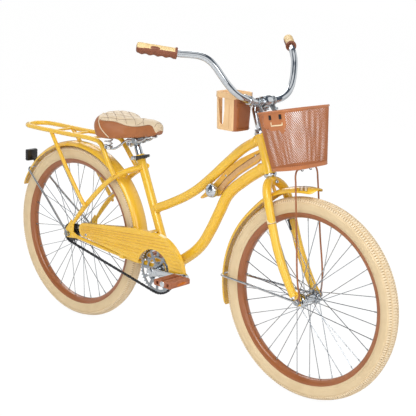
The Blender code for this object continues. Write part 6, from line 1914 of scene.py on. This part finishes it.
def make_chain():
    inner = make_link("inner", 0.00175, 0.00265, 0.0038, 0.0017)
    outer = make_link("outer", 0.00285, 0.0037, 0.0019, 0.0042)
    pins = [chain_spot(i * PITCH) for i in range(LINKS + 1)]
    links = []
    for i in range(LINKS):
        (f0, z0), (f1, z1) = pins[i], pins[i + 1]
        heading = math.atan2(z1 - z0, f1 - f0)
        place = (Matrix.Translation(at((f0 + f1) / 2, CHAIN_LEFT, (z0 + z1) / 2))
                 @ Matrix.Rotation(-heading, 4, "X") @ Matrix.Translation(-at(0, 0, 0)))
        links.append(copied(outer if i % 2 else inner, place))
    for model in (inner, outer):
        bpy.data.objects.remove(model, do_unlink=True)
    assembled("chain_links", links, "frame", "dark_steel", "chain_steel", "chain")


TOOTH = mm((-340, -2.2), (-220, -4.4), (0, -5.2), (220, -4.4), (340, -2.2), (470, 2.8), (530, 2.8))


def toothed(centre, teeth, first):
    """A sprocket's edge with rounded valleys, one of them under the chain's given pin."""
    pitch_radius = teeth * PITCH / math.tau
    spot = chain_spot(first * PITCH)
    start = math.atan2(spot[1] - centre[1], spot[0] - centre[0])
    edge = []
    for k in range(teeth):
        valley = start + math.tau * k / teeth
        for lag, height in TOOTH:
            radius = pitch_radius + height
            edge.append(polar(centre, radius, valley + lag * math.tau / teeth))
    return edge


def window(centre, middle, low, high, low_half, high_half, pieces=6):
    """A window of a sprocket, narrower at its inner end."""
    ways = [2 * i / pieces - 1 for i in range(pieces + 1)]
    inner = [polar(centre, low, middle - low_half * way) for way in ways]
    return [*inner, *[polar(centre, high, middle + high_half * way) for way in ways]]


def make_sprockets():
    loops = [toothed(RING_SPOT, RING_TEETH, 3)]
    for count, low, high, low_half, high_half in (
        (12, 0.053, 0.0715, 0.15, 0.185), (6, 0.024, 0.045, 0.33, 0.4)):
        loops += [window(RING_SPOT, math.tau * (k + 0.5) / count, low, high, low_half, high_half)
                  for k in range(count)]
    loops.append(arc(RING_SPOT, 0.0116, 0, 350, 35))
    parts = [flat_piece("ring", loops, CHAIN_LEFT - 0.0014, CHAIN_LEFT + 0.0014, 0.0004)]
    pin = polar(RING_SPOT, 0.038, math.radians(240))
    parts.append(spun(
        "drive_pin",
        mm(
            (0, 1), (7.5, 1), (7.5, 1.8), (5.2, 2.4), (5.2, 7.5), (4.2, 8.5), (2.6, 8.5),
            (2.6, 6.5), (0, 6.5)), at(pin[0], CHAIN_LEFT, pin[1]), -LEFT, 24))
    assembled("ring_plate", parts, "cranks", "chrome", "ring_steel", "chainring")
    loops = [toothed(COG_SPOT, COG_TEETH, 60), arc(COG_SPOT, 0.014, 0, 350, 35)]
    cog = flat_piece("cog", loops, CHAIN_LEFT - 0.0014, CHAIN_LEFT + 0.0014, 0.0003)
    boss = hoop(
        "boss",
        mm(
            (6.2, -47.4), (12.5, -47.4), (13.5, -46.8), (14.5, -46.6), (17, -44.2), (17, -39),
            (6.2, -39)), REAR_AXLE, LEFT, 40)
    assembled("wheel_cog", [cog, boss], "rear_wheel", "zinc_steel", "dark_steel", "rear_cog")


CRANK_TURN = 6.0
ARM_LENGTH = 0.165
ARM_NEAR = 0.072
ARM_FAR = 0.084


def turned(loop, centre, degrees):
    """A loop of (along, across) laid out from a centre in this direction."""
    turn = math.radians(degrees)
    return [(centre[0] + a * math.cos(turn) - b * math.sin(turn),
             centre[1] + a * math.sin(turn) + b * math.cos(turn)) for a, b in loop]


def pedal_spot(side, left=0.0):
    turn = math.radians(CRANK_TURN if side < 0 else CRANK_TURN + 180)
    forward, up = polar(RING_SPOT, ARM_LENGTH, turn)
    return at(forward, left, up)


def make_crank():
    side_edge = mm((0, 15.8), (18, 14.2), (40, 11.8), (100, 10), (140, 10.2), (154, 11.8))
    loop = [*side_edge, *arc((ARM_LENGTH, 0), 0.0135, 70, -70, 10),
            *[(a, -b) for a, b in reversed(side_edge)], *arc((0, 0), 0.0158, 260, 100, 8)]
    flute = [*arc((0.128, 0), 0.0042, 80, -80, 6), *arc((0.033, 0), 0.0056, 260, 100, 6)]
    parts = []
    for side in (-1, 1):
        degrees = CRANK_TURN if side < 0 else CRANK_TURN + 180
        arm = flat_piece(
            "arm", [turned(loop, RING_SPOT, degrees)], side * ARM_NEAR, side * ARM_FAR, 0.0032)
        cut = flat_piece(
            "flute", [turned(flute, RING_SPOT, degrees)], side * (ARM_FAR - 0.0013),
            side * (ARM_FAR + 0.005))
        parts.append(bevelled(cut_away(arm, cut), 0.0004, 2, 50.0))
        parts.append(spun(
            "boss",
            [*raised(ARM_NEAR, (0, -0.5), (17, -0.5), (17.5, 0)),
             *raised(
                 ARM_FAR, (17.5, -1), (16, 0.8), (11.5, 2), (10.5, 0.8), (9, 0.8), (8.5, 1.9),
                 (0, 1.9))], CRANK_CENTRE, LEFT * side, 40))
        parts.append(hoop(
            "eye",
            [*raised(ARM_NEAR, (6.8, -0.4), (13, -0.4), (13.5, 0)),
             *raised(ARM_FAR, (13.5, 0), (13, 0.4), (6.8, 0.4))], pedal_spot(side), LEFT * side,
            32))
    parts.append(spun(
        "spindle",
        mm(
            (0, -75), (11, -75), (11, -49), (13.5, -48.8), (14.5, -48), (14.5, -46.7), (11, -46.6),
            (11, 75), (0, 75)), CRANK_CENTRE, LEFT, 36))
    assembled("crank_arms", parts, "cranks", "chrome", "chrome", "crank")
    for side, end in SIDES:
        pin = spun(
            "pedal_pin",
            mm(
                (0, 74.2), (5.5, 74.2), (6.4, 75.2), (6.4, 84.9), (8.5, 85), (9.4, 85.6),
                (9.4, 87.6), (8.5, 88.2), (6, 89), (4.6, 89.8), (4.6, 95), (4.3, 189), (0, 189)),
            pedal_spot(side), LEFT * side, 24)
        pin.name = f"pedal_pin_{end}"
        fitted(pin, "cranks", "zinc_steel", "bright_steel", f"pedal_spindle_{end}")
        cup = hoop(
            f"cup_{end}",
            mm(
                (11.8, 26), (22.4, 26), (22.4, 34.3), (28.5, 34.3), (28.7, 34.7), (28.7, 35.8),
                (27.2, 36.8), (24, 37), (23.2, 38), (16, 38.3), (15, 37.4), (11.8, 37.4)),
            CRANK_CENTRE, LEFT * side, 44)
        fitted(cup, "frame", "chrome", "steel", f"bottom_bracket_cup_{end}")


def shifted(loop, forward, up):
    return [(forward + f, up + z) for f, z in loop]


PEDAL_TREAD = (
    mm(
        (15, -9.4), (20, -10), (34.5, -10.6), (38.5, -9), (39.8, -6.5), (39.8, 6.5), (38.5, 9),
        (34.5, 10.6), (20, 10), (15, 9.4)),
    mm((19, -6.2), (32, -6.6), (33.8, -5), (33.8, 5), (32, 6.6), (19, 6.2)))


def make_pedals():
    centre = pedal_spot(-1)
    forward = MIDDLE - centre.y
    up = centre.z
    parts = []
    lenses = []
    near, far = -0.095, -0.19
    for sign in (-1, 1):
        loops = [[(forward + sign * f, up + z) for f, z in loop] for loop in PEDAL_TREAD]
        parts.append(flat_piece("tread", loops, near, far, 0.0012))
        for k in range(12):
            for way in (-1, 1):
                parts.append(box(
                    "rib",
                    at(forward + sign * 0.0265, near - 0.0085 - 0.0071 * k, up + way * 0.0104),
                    (0.003, 0.015, 0.0022), bevel=0.0007))
        lenses.append(box(
            "lens", at(forward + sign * 0.04, -0.1345, up), (0.044, 0.0024, 0.0096), bevel=0.0008))
        for height in (-0.0058, 0.0058):
            parts.append(box(
                "lens_edge", at(forward + sign * 0.04, -0.1345, up + height),
                (0.05, 0.0026, 0.002), bevel=0.0006))
    plate = shifted(rounded_rectangle(0.0395, 0.0104, 0.005, 4), forward, up)
    holes = [shifted(
        [(f + sign * 0.0235, z) for f, z in rounded_rectangle(0.0066, 0.006, 0.0015, 2)], forward,
        up) for sign in (-1, 1)]
    parts.append(flat_piece("outer_end", [plate, *holes], far + 0.0052, far - 0.0006, 0.0008))
    parts.append(flat_piece("inner_end", [plate], near, near - 0.005, 0.0008))
    parts.append(hoop(
        "barrel",
        mm((5, 95.8), (8.8, 95.8), (9.2, 96.6), (8.8, 100), (8.8, 186), (9.2, 190), (5, 190)),
        centre, -LEFT, 28))
    cap = spun(
        "cap", mm((0, 188), (10, 188), (10.2, 191.5), (9.2, 192.8), (6, 193.4), (0, 193.6)),
        centre, -LEFT, 32)
    body = joined("pedal_body_right", parts)
    lens = joined("pedal_lens_right", lenses)
    cap.name = "pedal_cap_right"
    to_left = (Matrix.Translation(pedal_spot(1)) @ Matrix.Diagonal((-1, 1, 1, 1))
               @ Matrix.Translation(-centre))
    for piece, slot, finish in (
        (body, "brown_rubber", "pedal_brown"), (lens, "brown_rubber", "amber"),
        (cap, "zinc_steel", "bright_steel")):
        twin = copied(piece, to_left)
        twin.name = piece.name.replace("right", "left")
        for one, end in ((piece, "right"), (twin, "left")):
            nodes = (f"pedal_{end}",) if piece is body else ()
            fitted(one, f"pedal_{end}_body", slot, finish, *nodes)


def make_brake_arm():
    outline = [*arc((0.0, WHEEL_RADIUS), 0.0113, -10, 235, 16), (0.04, 0.303), (0.163, 0.2902),
               (0.169, 0.2918), (0.17, 0.295), (0.17, 0.3005), (0.168, 0.3022), (0.163, 0.303),
               (0.042, 0.318), (0.017, 0.3215)]
    holes = [arc((0.0, WHEEL_RADIUS), 0.0052, 0, 345, 23), arc((0.163, 0.2965), 0.003, 0, 330, 11)]
    parts = [flat_piece("arm", [outline, *holes], 0.0547, 0.0572, 0.0007)]
    start = at(0.2, 0.054, 0.3145)
    stop = at(0.028, 0.0605, 0.33)
    axis = (stop - start).normalized()
    middle = start + axis * 0.035
    parts.append(hoop(
        "band", mm((8.7, -6), (9.6, -6), (9.9, -5.5), (9.9, 5.5), (9.6, 6), (8.7, 6)), middle,
        axis, 36))
    parts.append(box("tail", at(0.164, 0.0588, 0.3035), (0.0016, 0.012, 0.017), bevel=0.0006))
    parts.append(hexagon("nut", at(0.163, 0.0596, 0.297), LEFT, 0.0055, 0.0045))
    parts.append(hexagon("bolt", at(0.163, 0.0547, 0.297), -LEFT, 0.005, 0.0035))
    assembled("brake_lever", parts, "frame", "zinc_steel", "steel", "coaster_brake_arm")


# Chain guard

GUARD_OUT = -0.068
GUARD_IN = -0.0525
GUARD_REAR = arc((0.093, 0.3655), 0.0268, -72, -265, 19)
GUARD_TOP = mm((150, 399), (220, 408.5), (280, 416.5), (337, 423.5), (378, 427.5), (415, 429))
GUARD_FRONT = [
    polar(RING_SPOT, 0.14 + 0.008 * i / 18, math.radians(84 - 78 * i / 18)) for i in range(19)]
GUARD_OPENING = arc(RING_SPOT, 0.08, 5, 171, 30)
GUARD_FOOT = mm((350, 308.5), (280, 317.5), (190, 329))
GUARD_EDGE = [*GUARD_REAR, *GUARD_TOP, *GUARD_FRONT, *GUARD_OPENING, *GUARD_FOOT]


def gap_to_edge(loop, spot):
    """How far a point lies inside a loop, and less than nothing outside it."""
    inside = False
    nearest = 1.0
    for (a, b), (c, d) in zip(loop, [*loop[1:], loop[0]]):
        span = max((c - a) ** 2 + (d - b) ** 2, 1e-12)
        share = held(((spot[0] - a) * (c - a) + (spot[1] - b) * (d - b)) / span)
        nearest = min(nearest, math.dist(spot, (a + (c - a) * share, b + (d - b) * share)))
        if (b > spot[1]) != (d > spot[1]):
            if spot[0] < a + (c - a) * (spot[1] - b) / (d - b):
                inside = not inside
    return nearest if inside else -nearest


def make_chain_guard():
    guard = flat_piece("guard_shell", [GUARD_EDGE], GUARD_OUT, GUARD_IN)
    rolled = [*GUARD_REAR[6:], *GUARD_TOP, *GUARD_FRONT]

    def on_line(place):
        spot = (MIDDLE - place.y, place.z)
        sides = zip(rolled, rolled[1:])
        strays = [math.dist(spot, a) + math.dist(spot, b) - math.dist(a, b) for a, b in sides]
        return min(map(abs, strays)) < 0.00002

    def off_shell(face):
        """The inner side, and the edge where nothing is rolled in."""
        if abs(face.normal.x) > 0.9:
            return face.center.x > -0.06
        return not on_line(face.center)

    drop_faces(guard, off_shell)
    with editing(guard, False):
        bpy.ops.mesh.select_mode(type="EDGE")
    for edge in guard.data.edges:
        first, second = (guard.data.vertices[i].co for i in edge.vertices)
        edge.select = (
            max(first.x, second.x) < GUARD_OUT + 0.0005 and on_line(first) and on_line(second)
            and on_line((first + second) / 2))
    with editing(guard, False):
        bpy.ops.mesh.bevel(offset=0.0035, segments=4, affect="EDGES", clamp_overlap=True)
    clean(guard)
    modify(guard, "SOLIDIFY", thickness=0.0011, offset=-1.0)
    ribs = []
    for k in range(13):
        low = 0.385 - 0.0072 * k
        slope = (0.417 - 0.0112 * k - low) / 0.36
        run = []
        for i in range(280):
            forward = 0.068 + 0.002 * i
            spot = (forward, low + slope * (forward - 0.1))
            clear = gap_to_edge(GUARD_EDGE, spot)
            if clear > 0.0058:
                run.append(spot)
            else:
                if len(run) > 8:
                    ribs.append(run)
                run = []
    parts = [guard]
    for run in ribs:
        spots = [run[0], run[len(run) // 2], run[-1]]
        parts.append(tube(
            "rib", [at(f, GUARD_OUT + 0.001, z) for f, z in spots], 0.0029, sizes=(0.7, 1, 0.7),
            round_steps=3, steps=4))
    # Painted shade: a thin darker yellow line lies in each groove between two ribs, where the ribs
    # shade the shell.
    lines = []
    for run, other in zip(ribs, ribs[1:]):
        drop = (other[0][1] - run[0][1] - (other[0][0] - run[0][0]) * 0.05) / 2
        if abs(drop) < 0.006:
            spots = [run[3], run[len(run) // 2], run[-4]]
            lines.append(tube(
                "line", [at(f, GUARD_OUT - 0.0002, z + drop) for f, z in spots], 0.0011,
                round_steps=2, steps=4))
    assembled("guard_groove_shade", lines, "frame", "yellow_paint", "groove_shade")
    tab = flat_piece(
        "tab", [mm((290, 301), (310, 301), (310, 326), (290, 326))], -0.0568, GUARD_OUT + 0.0004,
        0.0006)
    upper = flat_piece(
        "tab", [mm((418, 423.6), (438, 423.6), (438, 426.4), (418, 426.4))], -0.0172,
        GUARD_OUT + 0.0008, 0.0006)
    assembled(
        "guard_shell", [*parts, tab, upper], "frame", "yellow_paint", "enamel", "chain_guard")
    screw = screw_head("guard_screws", at(0.107, GUARD_OUT - 0.0002, 0.3505), -LEFT, 0.005, 0.0028)
    fitted(screw, "frame", "zinc_steel", "bright_steel")


for make in (make_studio, make_wheels, make_head_tube, make_main_tubes, make_rear_triangle,
             make_fenders, make_chevrons, make_rack, make_reflector, make_fork, make_fork_bands,
             make_headset, make_stem, make_handlebar, make_grips, make_tank, make_bell,
             make_basket, make_basket_trims, make_basket_mounts, make_cup_holder, make_saddle,
             make_springs, make_seatpost, make_chain, make_sprockets, make_crank, make_pedals,
             make_brake_arm, make_chain_guard):
    make()

PLAIN_FINISHES = {
    "yellow_paint": "enamel", "chrome": "chrome", "zinc_steel": "steel",
    "dark_steel": "dark_steel", "brown_paint": "brown_enamel", "cream_tyre": "tyre",
    "cream_rubber": "cream_rubber", "brown_rubber": "pedal_brown", "saddle_cover": "cream_vinyl",
    "black_plastic": "black_plastic", "brown_plastic": "cup_brown"}
for row in frame["record"]["subparts"]:
    node = frame["nodes"][row["node"]]
    if not node.hide_render:
        coated(node, PLAIN_FINISHES[row["material_slot"]])
